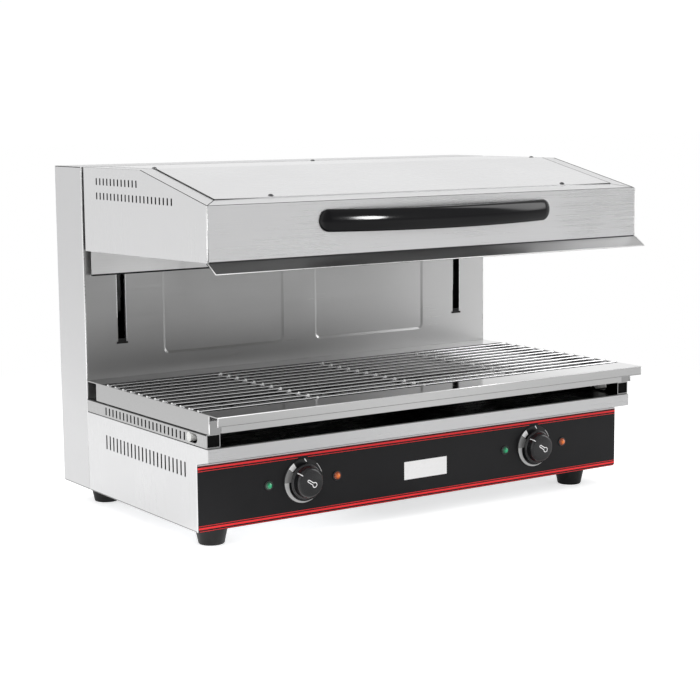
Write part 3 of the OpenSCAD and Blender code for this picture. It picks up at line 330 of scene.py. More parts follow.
def lens(name, core, body, glow):
    """Translucent lamp lens: facetted, with a bright core in its middle and a dark rim."""
    s = Shader(name, body, 0.16)
    cells = s.cells(520)
    middle = s.ramp(s.math("MULTIPLY", s.facing()["Y"], -1), 0.66, 1.0)
    middle = s.math("MULTIPLY", middle, middle)
    spark = s.math("MULTIPLY", middle, s.ramp(cells["Distance"], 0, 0.6, 1.2, 0.6))
    s.set("Base Color", s.blend(spark, body, core))
    s.bump(cells["Distance"], 0.4, 0.0006)
    s.set("Coat Weight", 0.4)
    s.set("Coat Roughness", 0.08)
    s.set("Emission Color", core)
    s.set("Emission Strength", s.math("MULTIPLY", spark, glow))
    return s.material


def printed(name, color, roughness=0.42):
    """Screen-printed ink with a slightly uneven edge tone."""
    s = Shader(name, color, roughness)
    s.set("Specular IOR Level", 0.2)
    s.set("Base Color", s.blend(s.noise(240, 2), scaled(color, 0.94), scaled(color, 1.04)))
    s.bump(s.noise(1500, 2), 0.05, 0.0001)
    return s.material


# Painted shade for the faces that look inwards, behind a wall
INSIDE_SHADE = grey(0.05)
tray_low, tray_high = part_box("drip_tray")
TRAY_LIP, TRAY_RIM = tray_low.y, tray_high.z
MATERIALS = {
    "sheet": brushed("brushed_sheet", steel(0.69), 0.3, inside=INSIDE_SHADE, slots="hood_shell"),
    "side": brushed("side_sheet", steel(0.66), 0.3, inside=INSIDE_SHADE, slots="base_side_left"),
    "rail": brushed("rail_sheet", steel(0.58), 0.3),
    "runner": brushed("runner_sheet", grey(0.44), 0.3, inside=grey(0.012), slots="runner_left"),
    # Painted shade on the column's front, darker at the left where hood and tray shade it
    "column": brushed("column_sheet", steel(0.62), 0.36, front=(grey(0.43), grey(0.6)),
                      inside=INSIDE_SHADE),
    "lid": brushed("lid_sheet", steel(0.73), 0.27, 0.5),
    "tray": brushed("tray_sheet", grey(0.5), 0.07, 0.3, 0.02, 0.02, shade=tray_shade_and_reflection),
    # Painted shade under the hood: its floor and reflector get a dark warm grey
    "under_hood_shade": brushed("under_hood_painted_shade", (0.34, 0.335, 0.32), 0.22),
    # Painted light: the rear skirt gets a far brighter grey than the other sheets
    "rear": brushed("rear_skirt_painted_light", grey(0.9), 0.42),
    # Painted shade and reflection: the front skirt is near black, lighter towards the right
    "skirt": brushed("skirt_sheet", grey(0.095), 0.4, shade=skirt_shade_ramp),
    "deck": brushed("deck_sheet", grey(0.12), 0.25),
    # Painted shade for dark lines along edges
    "groove": brushed("groove_shade", grey(0.3), 0.5),
    "element": brushed("element_sheath", (0.17, 0.16, 0.15), 0.5),
    "alloy": brushed("milled_alloy", (0.66, 0.67, 0.69), 0.35),
    "zinc": galvanised(),
    "panel": moulded("panel_film", (0.009, 0.009, 0.01), 0.34, 0.1, 1600, 0.2),
    "black": moulded("gloss_black", (0.008, 0.008, 0.009), 0.24, 0.04, 700, 0.5),
    "dial": moulded("dial_black", (0.009, 0.009, 0.01), 0.3, 0.04, 700, 0.35),
    "handle": moulded("handle_black", (0.002, 0.002, 0.0025), 0.1, 0.01, 500, 0.2),
    "rubber": moulded("foot_rubber", grey(0.01), 0.5, 0.3, 700, 0.3),
    "nylon": moulded("white_nylon", (0.8, 0.8, 0.78), 0.4, 0.1, 500),
    "ivory": moulded("ivory_plastic", (0.7, 0.66, 0.56), 0.5, 0.2, 500),
    "gland": moulded("gland_nylon", grey(0.03), 0.45, 0.15, 800),
    "plug": moulded("plug_black", grey(0.003), 0.6, 0.1, 800, 0.06),
    # Painted shade in seams and along edges
    "seam": moulded("seam_sealant", grey(0.03), 0.6, 0.1, 700, 0.1),
    # Painted shadow in gaps, and the dark line at the skirt's joint
    "joint_and_gap_shade": moulded("dark_joint_and_gap_shade", grey(0.02), 0.5, 0.1, 700, 0.3),
    # Painted shade behind the vent slots
    "vent_shade": moulded("painted_vent_shade", grey(0.006), 0.8, 0.3, 1200, 0.05),
    # Painted highlight: a white, not metal, for the glint of weld beads and wire ends
    "weld_glint": moulded("weld_bead_glint", grey(0.9), 0.3, 0.1, 900),
    "green": lens("green_lens", (0.01, 0.5, 0.2), (0.0, 0.07, 0.03), 0.3),
    "orange": lens("orange_lens", (0.9, 0.2, 0.015), (0.28, 0.045, 0.006), 0.3),
    "chrome": polished("drawn_wire", (0.88, 0.88, 0.89), 0.08),
    "rod": polished("ground_rod", (0.75, 0.75, 0.77), 0.1),
    "screw": polished("screw_steel", (0.12, 0.12, 0.125), 0.3),
    "spring": polished("spring_steel", (0.42, 0.42, 0.44), 0.25),
    "brass": polished("bush_brass", (0.65, 0.47, 0.2), 0.32),
    # Painted highlight: a brighter steel for beads and strips along folded edges
    "edge_highlight": polished("painted_edge_highlight", grey(0.86), 0.3),
    "red": printed("red_ink", (1.0, 0.04, 0.045)),
    "dark_red": printed("dark_red_ink", (0.3, 0.008, 0.016)),
    "white": printed("white_ink", grey(0.95)),
    "grey": printed("grey_ink", grey(0.27)),
    "pale": printed("pale_ink", grey(0.58)),
    "plate": printed("bare_plate", grey(0.97), 0.3),
}

# The CAD nodes of each material
NODE_MATERIALS = {
    "sheet": ("hood_shell",),
    "side": ("base_side_left", "base_side_right"),
    "rail": ("base_front",),
    "runner": ("runner_left", "runner_right"),
    "column": ("column_shell",),
    "lid": ("hood_lid",),
    "tray": ("drip_tray",),
    "under_hood_shade": ("hood_floor", "reflector"),
    "rear": ("hood_back",),
    "skirt": ("front_skirt",),
    "deck": ("deck_plate",),
    "zinc": ("base_bottom", "column_bottom", "back_cover", "rod_rail_top", "rod_rail_bottom",
             "sync_bar", "lift_arms", "element_hangers", "foot_nuts"),
    "panel": ("control_panel",),
    "black": ("knob_left", "knob_right", "lamp_bezels"),
    "dial": ("dial_plates",),
    "plug": ("runner_plugs",),
    "handle": ("handle",),
    "rubber": ("feet", "slot_stops"),
    "nylon": ("glide_buttons", "runner_pegs"),
    "ivory": ("regulators", "terminal_block"),
    "gland": ("cable_gland",),
    "green": ("green_lamps",),
    "orange": ("orange_lamps",),
    "chrome": ("wire_rack",),
    "rod": ("guide_rods", "spindle_left", "spindle_right"),
    "screw": ("back_screws", "lid_screws", "arm_bolts"),
    "spring": ("balance_springs",),
    "element": ("element_left", "element_right"),
    "brass": ("carriage_bushes",),
    "alloy": ("carriages",),
}
for key, names in NODE_MATERIALS.items():
    for name in names:
        nodes[name].data.materials.clear()
        nodes[name].data.materials.append(MATERIALS[key])


# ------------------------------ mesh helpers
def piece(name, mesh, material, body, smooth=False):
    """Links a bmesh as a named piece with a material, riding on a body."""
    data = bpy.data.meshes.new(name)
    bmesh.ops.recalc_face_normals(mesh, faces=mesh.faces)
    mesh.to_mesh(data)
    mesh.free()
    data.materials.append(MATERIALS[material])
    if smooth:
        data.shade_smooth()
    thing = bpy.data.objects.new(name, data)
    bpy.context.scene.collection.objects.link(thing)
    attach(thing, body)
    return thing


def walls(mesh, first, second):
    """Faces between two rings of as many points."""
    for i in range(len(first)):
        j = (i + 1) % len(first)
        mesh.faces.new((first[i], first[j], second[j], second[i]))


def bar(mesh, rings):
    """A closed bar through rings of as many points."""
    rows = [[mesh.verts.new(at(*point)) for point in ring] for ring in rings]
    for a, b in zip(rows, rows[1:]):
        walls(mesh, a, b)
    mesh.faces.new(rows[0])
    mesh.faces.new(rows[-1])


def extrude(mesh, axis, section, ends):
    """A bar along axis x, y or z, by its section over the other two axes and its two ends."""
    spot = "xyz".index(axis)
    bar(mesh, [[(*point[:spot], end, *point[spot:]) for point in section] for end in ends])


def circle(steps):
    """Angles round a circle."""
    return [2 * math.pi * k / steps for k in range(steps)]


# Height of ink above its face, and how deep it starts below it
INK, INK_FOOT = 0.12, 0.02


def print_at(y, name, material, outlines):
    """Ink on a face of the machine that looks forwards, at y."""
    mesh = bmesh.new()
    for outline in outlines:
        extrude(mesh, "y", outline, (y + INK_FOOT, y - INK))
    piece(name, mesh, material, "machine")


# ------------------------------ printed panel
# Corner radius of the panel, and its bare border at the sides
CORNER, BORDER = 4.0, 0.15


def stripe(z0, z1):
    """A stripe across the panel, whose ends follow the panel's round lower corners."""
    radius, half = CORNER, PANEL_HALF - BORDER

    def reach(z):
        if z >= radius:
            return half
        return half - radius + math.sqrt(max(0, radius ** 2 - (radius - z) ** 2))

    levels = [z0 + (z1 - z0) * i / 4 for i in range(5)]
    return [(reach(z), z) for z in levels] + [(-reach(z), z) for z in reversed(levels)]


def line(z0, z1, x0, x1):
    """A rectangle seen from the front."""
    return [(x1, z0), (x1, z1), (x0, z1), (x0, z0)]


# Lower and upper edges of the stripes, above the base's underside
BRIGHT_STRIPES = ((91.4, 94.3), (3.8, 6.7), (8.5, 9.3), (0.7, 1.4))
DIAL_STRIPE = (88.4, 89.2)
TOP_STRIPE = (96.2, 96.9)
NAME_PLATE = ((-37, 30.5), (45, 30.5), (45, 58.5), (-37, 58.5))
# The stripe beside the dials stops at each dial's black surround
GAP = 9
print_at(PANEL_Y, "stripes_bright", "red", [stripe(*edges) for edges in BRIGHT_STRIPES] + [
    line(*DIAL_STRIPE, start, stop) for start, stop in (
        (-PANEL_HALF + BORDER, -KNOB_X - GAP), (GAP - KNOB_X, KNOB_X - GAP),
        (KNOB_X + GAP, PANEL_HALF - BORDER))])
print_at(PANEL_Y, "stripe_top", "dark_red", [stripe(*TOP_STRIPE)])
print_at(PANEL_Y, "bare_name_plate", "plate", [NAME_PLATE])

# Thickness of the dial plates, on the panel
DIAL_THICK = 2.0
DIAL_Y = PANEL_Y - DIAL_THICK
# Bands on each dial: start and stop in degrees, outer radius, inner radius at both ends, steps
DIAL_BANDS = (
    ("dial_wide_", "grey", ((-53, -90, 33.1, 20, 20, 14),)),
    ("dial_wedge_", "pale", ((-90.3, -208, 33.1, 25.6, 32.7, 36),)),
    ("dial_mark_", "white", ((-31.5, -52, 33.0, 24.4, 24.4, 8), (44, 72, 33.2, 32.6, 32.6, 10))),
)
# Index mark: its ends, right of the dial's middle and above the base's underside, and half its
# width
INDEX_TOP, INDEX_FOOT, INDEX_HALF = (1.6, 87.1), (5.1, 82.2), 0.8


def crescent(cx, start, stop, outer, inner_start, inner_stop, steps):
    """A band along the dial's edge, from one width to another, as seen from the front: 0 degrees
    points up and angles run clockwise."""
    edges = []
    for first, last in ((outer, outer), (inner_start, inner_stop)):
        edge = []
        for i in range(steps + 1):
            share = i / steps
            angle = math.radians(start + (stop - start) * share)
            radius = first + (last - first) * share
            edge.append((cx + radius * math.sin(angle), KNOB_Z + radius * math.cos(angle)))
        edges.append(edge)
    return edges[0] + edges[1][::-1]


def dial_print(side, cx):
    """A wedge that grows from the right of the bottom up to a white block, and an index mark."""
    for name, ink, bands in DIAL_BANDS:
        print_at(DIAL_Y, name + side, ink, [crescent(cx, *band) for band in bands])
    top, foot = [Vector((cx + x, z)) for x, z in (INDEX_TOP, INDEX_FOOT)]
    across = (top - foot).orthogonal().normalized() * INDEX_HALF
    print_at(DIAL_Y, "dial_index_" + side, "white", [
        [tuple(p) for p in (top + across, foot + across, foot - across, top - across)]])


# A place in front of the whole machine
AHEAD = -600


def draped(target, points):
    """For each (x, z) cast backwards onto a node's front: the place, and a millimetre along its
    normal."""
    tool = nodes[target]
    inverse = tool.matrix_world.inverted()
    places = []
    for x, z in points:
        start = inverse @ at(x, AHEAD, z)
        hit, place, normal, _ = tool.ray_cast(start, inverse.to_3x3() @ Vector((0, 1, 0)))
        if not hit:
            raise ValueError("nothing of %s at %s" % (target, (x, z)))
        normal = (tool.matrix_world.to_3x3() @ normal).normalized()
        places.append((tool.matrix_world @ place, normal * MM))
    return places


def ribbon(mesh, target, left, right, closed=False):
    """Ink that follows a node's front, between two rows of (x, z) points."""
    sink = 0.25
    rows = []
    for row in (left, right):
        places = draped(target, row)
        rows.append([[mesh.verts.new(place + normal * height) for place, normal in places]
                     for height in (INK, -sink)])
    (left_top, left_low), (right_top, right_low) = rows
    loops = (left_top, right_top, right_low, left_low)
    count = len(left)
    for i in range(count if closed else count - 1):
        j = (i + 1) % count
        for k in range(4):
            a, b = loops[k], loops[(k + 1) % 4]
            mesh.faces.new((a[i], a[j], b[j], b[i]))
    if not closed:
        for i in (0, count - 1):
            mesh.faces.new([loop[i] for loop in loops])


# Directions of the knobs' pointer and picture, in degrees from upright
POINTER, PICTURE = -50, -57


def knob_marks(side, cx):
    """A pointer over the cap's round edge and the outline of a thermometer on its face."""
    node = "knob_" + side
    middle = Vector((cx, KNOB_Z))

    def axes(degrees):
        turn = math.radians(degrees)
        out = Vector((math.sin(turn), math.cos(turn)))
        return out, Vector((out.y, -out.x))

    mesh = bmesh.new()
    out, over = axes(POINTER)
    inner, outer, half, steps = 19.3, 23.75, 0.7, 14
    reach = [inner + (outer - inner) * i / steps for i in range(steps + 1)]
    rows = [[tuple(middle + out * r + over * side_step) for r in reach]
            for side_step in (-half, half)]
    ribbon(mesh, node, *rows)
    out, over = axes(PICTURE)
    # The thermometer: radius of its bulb and stem, its tip, its bulb's middle, the line's width
    bulb, stem, tip, head, width = 4.3, 2.3, 9.0, -5.6, 1.25
    loops = []
    for inset in (0.0, width):
        ball, neck = bulb - inset, stem - inset
        join = math.asin(neck / ball)
        path = [(head - ball * math.cos(a), ball * math.sin(a))
                for a in [(-math.pi + join) + (2 * math.pi - 2 * join) * i / 28 for i in range(29)]]
        first = head + ball * math.cos(join)
        last = tip - stem
        path += [(first + (last - first) * i / 6, neck) for i in range(1, 6)]
        path += [(last + neck * math.cos(a), neck * math.sin(a))
                 for a in [math.pi / 2 - math.pi * i / 10 for i in range(11)]]
        path += [(last + (first - last) * i / 6, -neck) for i in range(1, 6)]
        loops.append([tuple(middle + out * u + over * v) for u, v in path])
    ribbon(mesh, node, *loops, closed=True)
    piece("knob_marks_" + side, mesh, "white", "knob_%s_body" % side)


for side, cx in (("left", -KNOB_X), ("right", KNOB_X)):
    dial_print(side, cx)
    knob_marks(side, cx)


# ------------------------------ trim
HOOD_HALF = hood_high.x
HOOD_BACK = hood_high.y - SHIFT.y
TOP_Z = hood_high.z - SHIFT.z
# The fold of the hood's top; the foot of its front face and the face's height
FOLD_Y = -196
FACE_FOOT, FACE_H = HOOD_BOTTOM + 7, 78.5
FRONT_TOP = FACE_FOOT + FACE_H
SLOPE = (TOP_Z - FRONT_TOP) / (FOLD_Y - HOOD_FRONT)
lid_low, lid_high = box_mm("hood_lid")
LID_FRONT, LID_BACK = lid_low.y - SHIFT.y, lid_high.y - SHIFT.y
LID_HALF = lid_high.x


def top_z(y):
    """Height of the hood's folded top."""
    return TOP_Z + min(0, y - FOLD_Y) * SLOPE


def strip(mesh, start, stop, half_left, half_right, low, high):
    """A flat bead on the hood's top from one (x, y) to another, folded where the top folds."""
    a, b = Vector(start), Vector(stop)
    way = (b - a).normalized()
    side = Vector((-way.y, way.x))
    shares = [0.0, 1.0]
    if (a.y - FOLD_Y) * (b.y - FOLD_Y) < 0:
        shares.insert(1, (FOLD_Y - a.y) / (b.y - a.y))
    rings = []
    for share in shares:
        centre = a + (b - a) * share
        left, right = centre + side * half_left, centre - side * half_right
        rings.append([(p.x, p.y, top_z(p.y) + lift) for p, lift in (
            (left, low), (left, high), (right, high), (right, low))])
    bar(mesh, rings)


def hood_seams():
    """Painted shade in the grooves of the folded top, and a painted shadow line round the lid."""
    seams = bmesh.new()
    edge, front = HOOD_HALF - 2.5, HOOD_FRONT + 2.5
    for x in (-edge, edge):
        strip(seams, (x, front), (x, HOOD_BACK), 1.0, 1.0, -0.5, 0.1)
        inner = LID_HALF if x > 0 else -LID_HALF
        strip(seams, (x, front), (inner, LID_FRONT), 0.6, 0.6, -0.5, 0.08)
    strip(seams, (-edge, front), (edge, front), 1.1, 1.1, -0.5, 0.1)
    piece("hood_seam_lines", seams, "seam", "hood")
    joint_and_gap_shade = bmesh.new()
    for x in (-LID_HALF, LID_HALF):
        widths = (1.5, 0.1) if x < 0 else (0.1, 1.8)
        strip(joint_and_gap_shade, (x, LID_FRONT - 1), (x, FOLD_Y + 8), *widths, 0.02, 1.2)
        # Along the lid's front the painted shadow shows only near the corners, where the lid stands
        # off a little
        corner_gap_shadow(joint_and_gap_shade, x, x * 0.78, LID_FRONT)
    strip(joint_and_gap_shade, (-LID_HALF, LID_BACK), (LID_HALF, LID_BACK), 1.0, 0.1, 0.02, 0.7)
    piece("lid_gap_shadow", joint_and_gap_shade, "joint_and_gap_shade", "hood")


def corner_gap_shadow(mesh, start, stop, y):
    """A painted shadow bead along the lid's front edge that thins out from one x to another."""
    top, behind = top_z(y), y + 0.1
    low = top + 0.02
    bar(mesh, [[(x, behind, low), (x, behind, top + height), (x, y - height, top + height),
                (x, y - height, low)] for x, height in ((start, 0.9), (stop, 0.04))])


def hood_edges():
    """Round bead along the front skirt's hem in a brighter steel, a painted highlight; the dark
    joint above it; and a painted shadow strip along the rear skirt's lower edge.
    """
    skirt_low = box_mm("front_skirt")[0]
    foot_y, foot_z = skirt_low.y - SHIFT.y + 0.5, skirt_low.z - SHIFT.z + 0.9
    edge_highlight = bmesh.new()
    half, radius = HOOD_HALF - 0.4, 0.8
    points = [Vector(p) for p in (
        (half, HOOD_FRONT - 1.2, FACE_FOOT - 0.9), (half, foot_y, foot_z),
        (-half, foot_y, foot_z), (-half, HOOD_FRONT - 1.2, FACE_FOOT - 0.9))]
    rings = []
    for i, point in enumerate(points):
        before = (point - points[i - 1]).normalized() if i else (points[1] - point).normalized()
        after = (points[i + 1] - point).normalized() if i < len(points) - 1 else before
        way = (before + after).normalized()
        first = Vector((0, 0, 1)).cross(way).normalized()
        second = way.cross(first)
        stretch = 1 / max(0.4, way.dot(after))
        rings.append([
            tuple(point + (first * math.cos(a) * stretch + second * math.sin(a)) * radius)
            for a in circle(12)])
    bar(edge_highlight, rings)
    piece("skirt_hem", edge_highlight, "edge_highlight", "hood", smooth=True)
    joint = bmesh.new()
    section = ((HOOD_FRONT + 0.2, FACE_FOOT + 1.5), (HOOD_FRONT - 0.25, FACE_FOOT + 1.3),
               (HOOD_FRONT - 0.5, FACE_FOOT - 0.2), (HOOD_FRONT + 0.2, FACE_FOOT - 0.4))
    extrude(joint, "x", section, (2.6 - HOOD_HALF, HOOD_HALF - 2.6))
    piece("skirt_joint", joint, "joint_and_gap_shade", "hood")
    # Painted shadow along the rear skirt's lower edge
    back_low, back_high = box_mm("hood_back")
    low, lap, half = back_low.z - SHIFT.z, 0.9, HOOD_HALF - 9
    y0, y1 = back_low.y - SHIFT.y - lap, back_high.y - SHIFT.y + lap
    edge = bmesh.new()
    section = ((y0, low + 1.4), (y0, low - 0.5), (y0 + 0.5, low - 1.1),
               (y1 - 0.5, low - 1.1), (y1, low - 0.5), (y1, low + 1.4))
    extrude(edge, "x", section, (-half, half))
    piece("rear_skirt_shadow", edge, "joint_and_gap_shade", "hood")


def edge_bead(mesh, x, y, z0, z1, radius):
    """An upright round bead on a folded sheet's corner, which carries a painted highlight line."""
    section = [(x + radius * math.cos(a), y + radius * math.sin(a)) for a in circle(12)]
    extrude(mesh, "z", section, (z0, z1))


def rear_gap_shade():
    """Painted shade: black strips along the upright rear edges of the hood, in its gap to the column.
    """
    rear_shade = bmesh.new()
    low, high, width = FACE_FOOT - 6, TOP_Z - 1, 6
    front, back = HOOD_BACK - 1, HOOD_BACK + 4
    for x in (-HOOD_HALF + 1, HOOD_HALF - 1 - width):
        section = ((x, front), (x + width, front), (x + width, back), (x, back))
        extrude(rear_shade, "z", section, (low, high))
    piece("hood_rear_gap_shade", rear_shade, "joint_and_gap_shade", "hood")


def panel_cover():
    """Folded edge of the front rail over the top of the control panel."""
    fold, low, high = bmesh.new(), 97.1, PANEL_TOP + 0.2
    extrude(fold, "y", line(low, high, -PANEL_HALF, PANEL_HALF), (PANEL_Y + 0.1, PANEL_Y - 0.5))
    piece("rail_fold", fold, "rail", "machine")


def slot_trims():
    """Painted highlights: bright strips along the folded edges of the column's slots."""
    stop_low, stop_high = box_mm("slot_stops")
    # Half the slot's width, and the width of a trim
    half, lap = 7.3, 1.1
    centre = stop_high.x - half - 2
    # The trims' ends; the painted highlight on the left of each slot starts higher
    low, high, left_rise = stop_low.z - SHIFT.z + 12, 466, 34
    trims = bmesh.new()
    for s in (-1, 1):
        for side, z0 in ((-1, low + left_rise), (1, low)):
            x = s * centre + side * (half + lap / 2)
            x0, x1 = x - lap / 2, x + lap / 2
            extrude(trims, "z", ((x0, 0.1), (x0, -0.35), (x1, -0.35), (x1, 0.1)), (z0, high))
    piece("slot_trims", trims, "edge_highlight", "machine")


def tray_trims():
    """Beads and a hem in a brighter steel along the tray's sheet edges, a painted highlight,
    and a painted shadow line at the foot of its lip.
    """
    low, high = box_mm("drip_tray")
    lip, rim, floor_z = low.y - SHIFT.y, high.z - SHIFT.z, low.z - SHIFT.z
    # The side walls' front ends, the lip's lower edge and the top of the painted shadow line
    front, lip_foot, line_z = lip + 25, rim - 13.8, rim - 12.7
    edge_highlight = bmesh.new()
    section = ((lip + 0.5, rim + 0.05), (lip - 0.12, rim - 0.1), (lip - 0.12, rim - 1.3),
               (lip + 0.5, rim - 1.3))
    extrude(edge_highlight, "x", section, (low.x + 0.1, high.x - 0.1))
    for x in (low.x + 0.9, high.x - 0.9):
        edge_bead(edge_highlight, x, front + 0.4, floor_z + 0.2, rim - 1.6, 1.0)
    for x in (low.x + 0.6, high.x - 0.6):
        edge_bead(edge_highlight, x, lip + 0.6, lip_foot, rim - 0.6, 0.8)
    piece("tray_hem", edge_highlight, "edge_highlight", "tray", smooth=True)
    groove = bmesh.new()
    section = ((lip + 0.2, line_z), (lip - 0.1, line_z - 0.1), (lip - 0.1, lip_foot + 0.1),
               (lip + 0.2, lip_foot))
    extrude(groove, "x", section, (low.x + 2, high.x - 2))
    piece("tray_lip_shadow", groove, "groove", "tray")


def runner_gap_shades():
    """Painted shadow: black strips along the runners' upper outer edges, under the tray's side walls.
    """
    strips = bmesh.new()
    for node, s in (("runner_left", -1), ("runner_right", 1)):
        low, high = box_mm(node)
        x, top = s * max(abs(low.x), abs(high.x)), high.z - SHIFT.z
        section = ((x - s * 0.5, top + 0.1), (x + s * 0.15, top), (x + s * 0.15, top - 1.5),
                   (x - s * 0.2, top - 1.6))
        extrude(strips, "y", section, (low.y - SHIFT.y + 1, high.y - SHIFT.y - 1))
    piece("runner_gap_shades", strips, "joint_and_gap_shade", "machine")


def vent_shades():
    """Painted shade: thin black sheets on the inner faces of the walls, behind their rows of slots.
    """
    pitch, margin, rise, gap, thick = 12, 5, 1.5, 0.15, 0.3

    def vent_shade(mesh, s, wall, first, last, z, height):
        """Behind a row whose first slot and whose end lie so far in front of the column."""
        last = first + (last - first) // pitch * pitch
        outer, inner = s * (wall - gap), s * (wall - gap - thick)
        low, high = z - rise, z + height + rise
        section = ((outer, low), (outer, high), (inner, high), (inner, low))
        extrude(mesh, "y", section, (margin - first, -last - margin))

    runner_low, runner_high = box_mm("runner_right")
    peg_low, peg_high = box_mm("runner_pegs")
    base_top, peg = runner_low.z - SHIFT.z, SHIFT.y - (peg_low.y + peg_high.y) / 2
    # Wall's inner face, first slot, end of the row, lower edge and height of the slots
    base_rows = ((runner_high.x - 1.5, 66, 318, base_top - 51, 22),
                 (runner_high.x - 1.2, 66, peg - 11, base_top + 2.75, 12))
    hood_rows = ((HOOD_HALF - 1.5, 54.5, 187.6, TOP_Z - 26, 10.5),
                 (HOOD_HALF - 1.5, 54.5, 296.6, TOP_Z - 48, 10.5))
    for name, body, rows in (("base_vent_shades", "machine", base_rows),
                             ("hood_vent_shades", "hood", hood_rows)):
        mesh = bmesh.new()
        for s in (-1, 1):
            for row in rows:
                vent_shade(mesh, s, *row)
        piece(name, mesh, "vent_shade", body)


def body_edges():
    """Beads in a brighter steel on the upright corners of column and hood, a painted highlight,
    and painted shade lines along the column's top and along the bottom folds of column and base."""
    column = bmesh.new()
    for s in (-1, 1):
        edge_bead(column, s * (column_high.x - 1.1), 0.9, 0.5, column_high.z - SHIFT.z - 1, 1.2)
    piece("column_edges", column, "edge_highlight", "machine", smooth=True)
    seams, folds = bmesh.new(), bmesh.new()
    back, top = column_high.y - SHIFT.y - 2, column_high.z - SHIFT.z
    side_high = box_mm("base_side_right")[1]
    for s in (-1, 1):
        x = s * column_high.x
        section = ((x, top - 1.2), (x + s * 0.15, top - 1.1), (x + s * 0.15, top - 0.1),
                   (x - s * 0.9, top + 0.1), (x - s * 1.0, top - 0.05))
        extrude(seams, "y", section, (2, back))
        for half, ends in ((column_high.x, (2, back)),
                           (side_high.x, (PANEL_Y + 5, side_high.y - SHIFT.y - 2))):
            x, out = s * half, s * (half + 0.12)
            extrude(folds, "y", ((x, 1.5), (out, 1.4), (out, 0.2), (x, 0.1)), ends)
    piece("column_top_lines", seams, "seam", "machine")
    piece("bottom_shade_lines", folds, "groove", "machine")
    hood = bmesh.new()
    for s in (-1, 1):
        edge_bead(hood, s * (HOOD_HALF - 1.1), HOOD_FRONT + 1.1, FACE_FOOT + 0.5, FRONT_TOP - 1.5,
                  1.2)
    piece("hood_edges", hood, "edge_highlight", "hood", smooth=True)


for build in (hood_seams, hood_edges, rear_gap_shade, panel_cover, slot_trims, tray_trims,
              runner_gap_shades, vent_shades, body_edges):
    build()


# ------------------------------ handle
def build_handle():
    """The bowed handle: a stadium-shaped grip with a crowned face, that droops a little and ends on
    the hood's face."""
    # Half its length, half its height, and its depth
    half, radius, thick = 216.0, 16.6, 11.0
    # How far its ends stand off the hood, how far its middle bows out, and its fall outwards
    end_out, rise, droop = 7.0, 24.0, math.tan(math.radians(5))
    bow = (half ** 2 + rise ** 2) / (2 * rise)
    middle_z = FACE_FOOT + 51.6
    length = half - radius
    # Steps along a straight side, and round an end
    straight, bend = 48, 20
    # Inset from the outline and depth behind the front, from the back round to the middle
    crown = 7.0
    profile = [(2.2, thick), (0.6, thick - 0.6), (0.0, thick - 2.2), (0.0, crown)]
    profile += [(radius * (1 - math.cos(a)), crown * (1 - math.sin(a)))
                for a in [math.radians(6 * k) for k in range(1, 15)]] + [(radius - 0.6, 0.0)]

    def ring(inset, depth):
        r = radius - inset
        along = [-length + 2 * length * i / straight for i in range(straight)]
        turns = [(r * math.sin(a), r * math.cos(a))
                 for a in [math.pi * i / bend for i in range(bend)]]
        outline = [(x, r) for x in along] + [(length + x, z) for x, z in turns]
        outline += [(-x, -r) for x in along] + [(-length - x, -z) for x, z in turns]
        places = []
        for x, z in outline:
            out = end_out + math.sqrt(bow ** 2 - x ** 2) - (bow - rise)
            y = min(HOOD_FRONT + 0.05, HOOD_FRONT - out + depth)
            places.append((x, y, middle_z + z - droop * out))
        return places

    mesh = bmesh.new()
    rows = [[mesh.verts.new(at(*place)) for place in ring(*step)] for step in profile]
    for a, b in zip(rows, rows[1:]):
        walls(mesh, a, b)
    # Each end face: a strip of quads between the straight sides, and the two round ends
    half_way = straight + bend
    for row in (rows[0], rows[-1]):
        top, foot = row[:straight + 1], row[half_way:half_way + straight + 1]
        for i in range(straight):
            mesh.faces.new((top[i], top[i + 1], foot[straight - 1 - i], foot[straight - i]))
        mesh.faces.new(row[straight:half_way + 1])
        mesh.faces.new(row[half_way + straight:] + row[:1])
    bmesh.ops.remove_doubles(mesh, verts=mesh.verts, dist=1e-7)
    bmesh.ops.dissolve_degenerate(mesh, edges=mesh.edges, dist=1e-7)
    grip = piece("handle_grip", mesh, "handle", "hood", smooth=True)
    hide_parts("handle")
    return grip


handle_grip = build_handle()


# ------------------------------ rack
def rack_welds():
    """Weld beads where the rack's wires cross its bars, and round ends on the wires, in a white
    that paints their glint.
    """
    low, high = box_mm("wire_rack")
    # Height of the wires' middles, the places of the three inner cross bars, and the wires
    wire_z = high.z - SHIFT.z - 1.75
    bar_pitch = 196.5
    first, pitch, count = low.y - SHIFT.y + 2, 26, 12
    mesh = bmesh.new()

    def bead(x, y, z, rx, ry, rz):
        matrix = Matrix.Translation(at(x, y, z)) @ Matrix.Diagonal((rx * MM, ry * MM, rz * MM, 1))
        bmesh.ops.create_uvsphere(mesh, u_segments=10, v_segments=6, radius=1, matrix=matrix)

    for i in range(count):
        y = first + i * pitch
        for x in (-bar_pitch, 0, bar_pitch):
            bead(x, y, wire_z, 3.6, 2.3, 2.1)
        for x in (low.x, high.x):
            bead(x, y, wire_z, 1.6, 2.3, 2.3)
    piece("rack_welds", mesh, "weld_glint", "rack", smooth=True)


rack_welds()


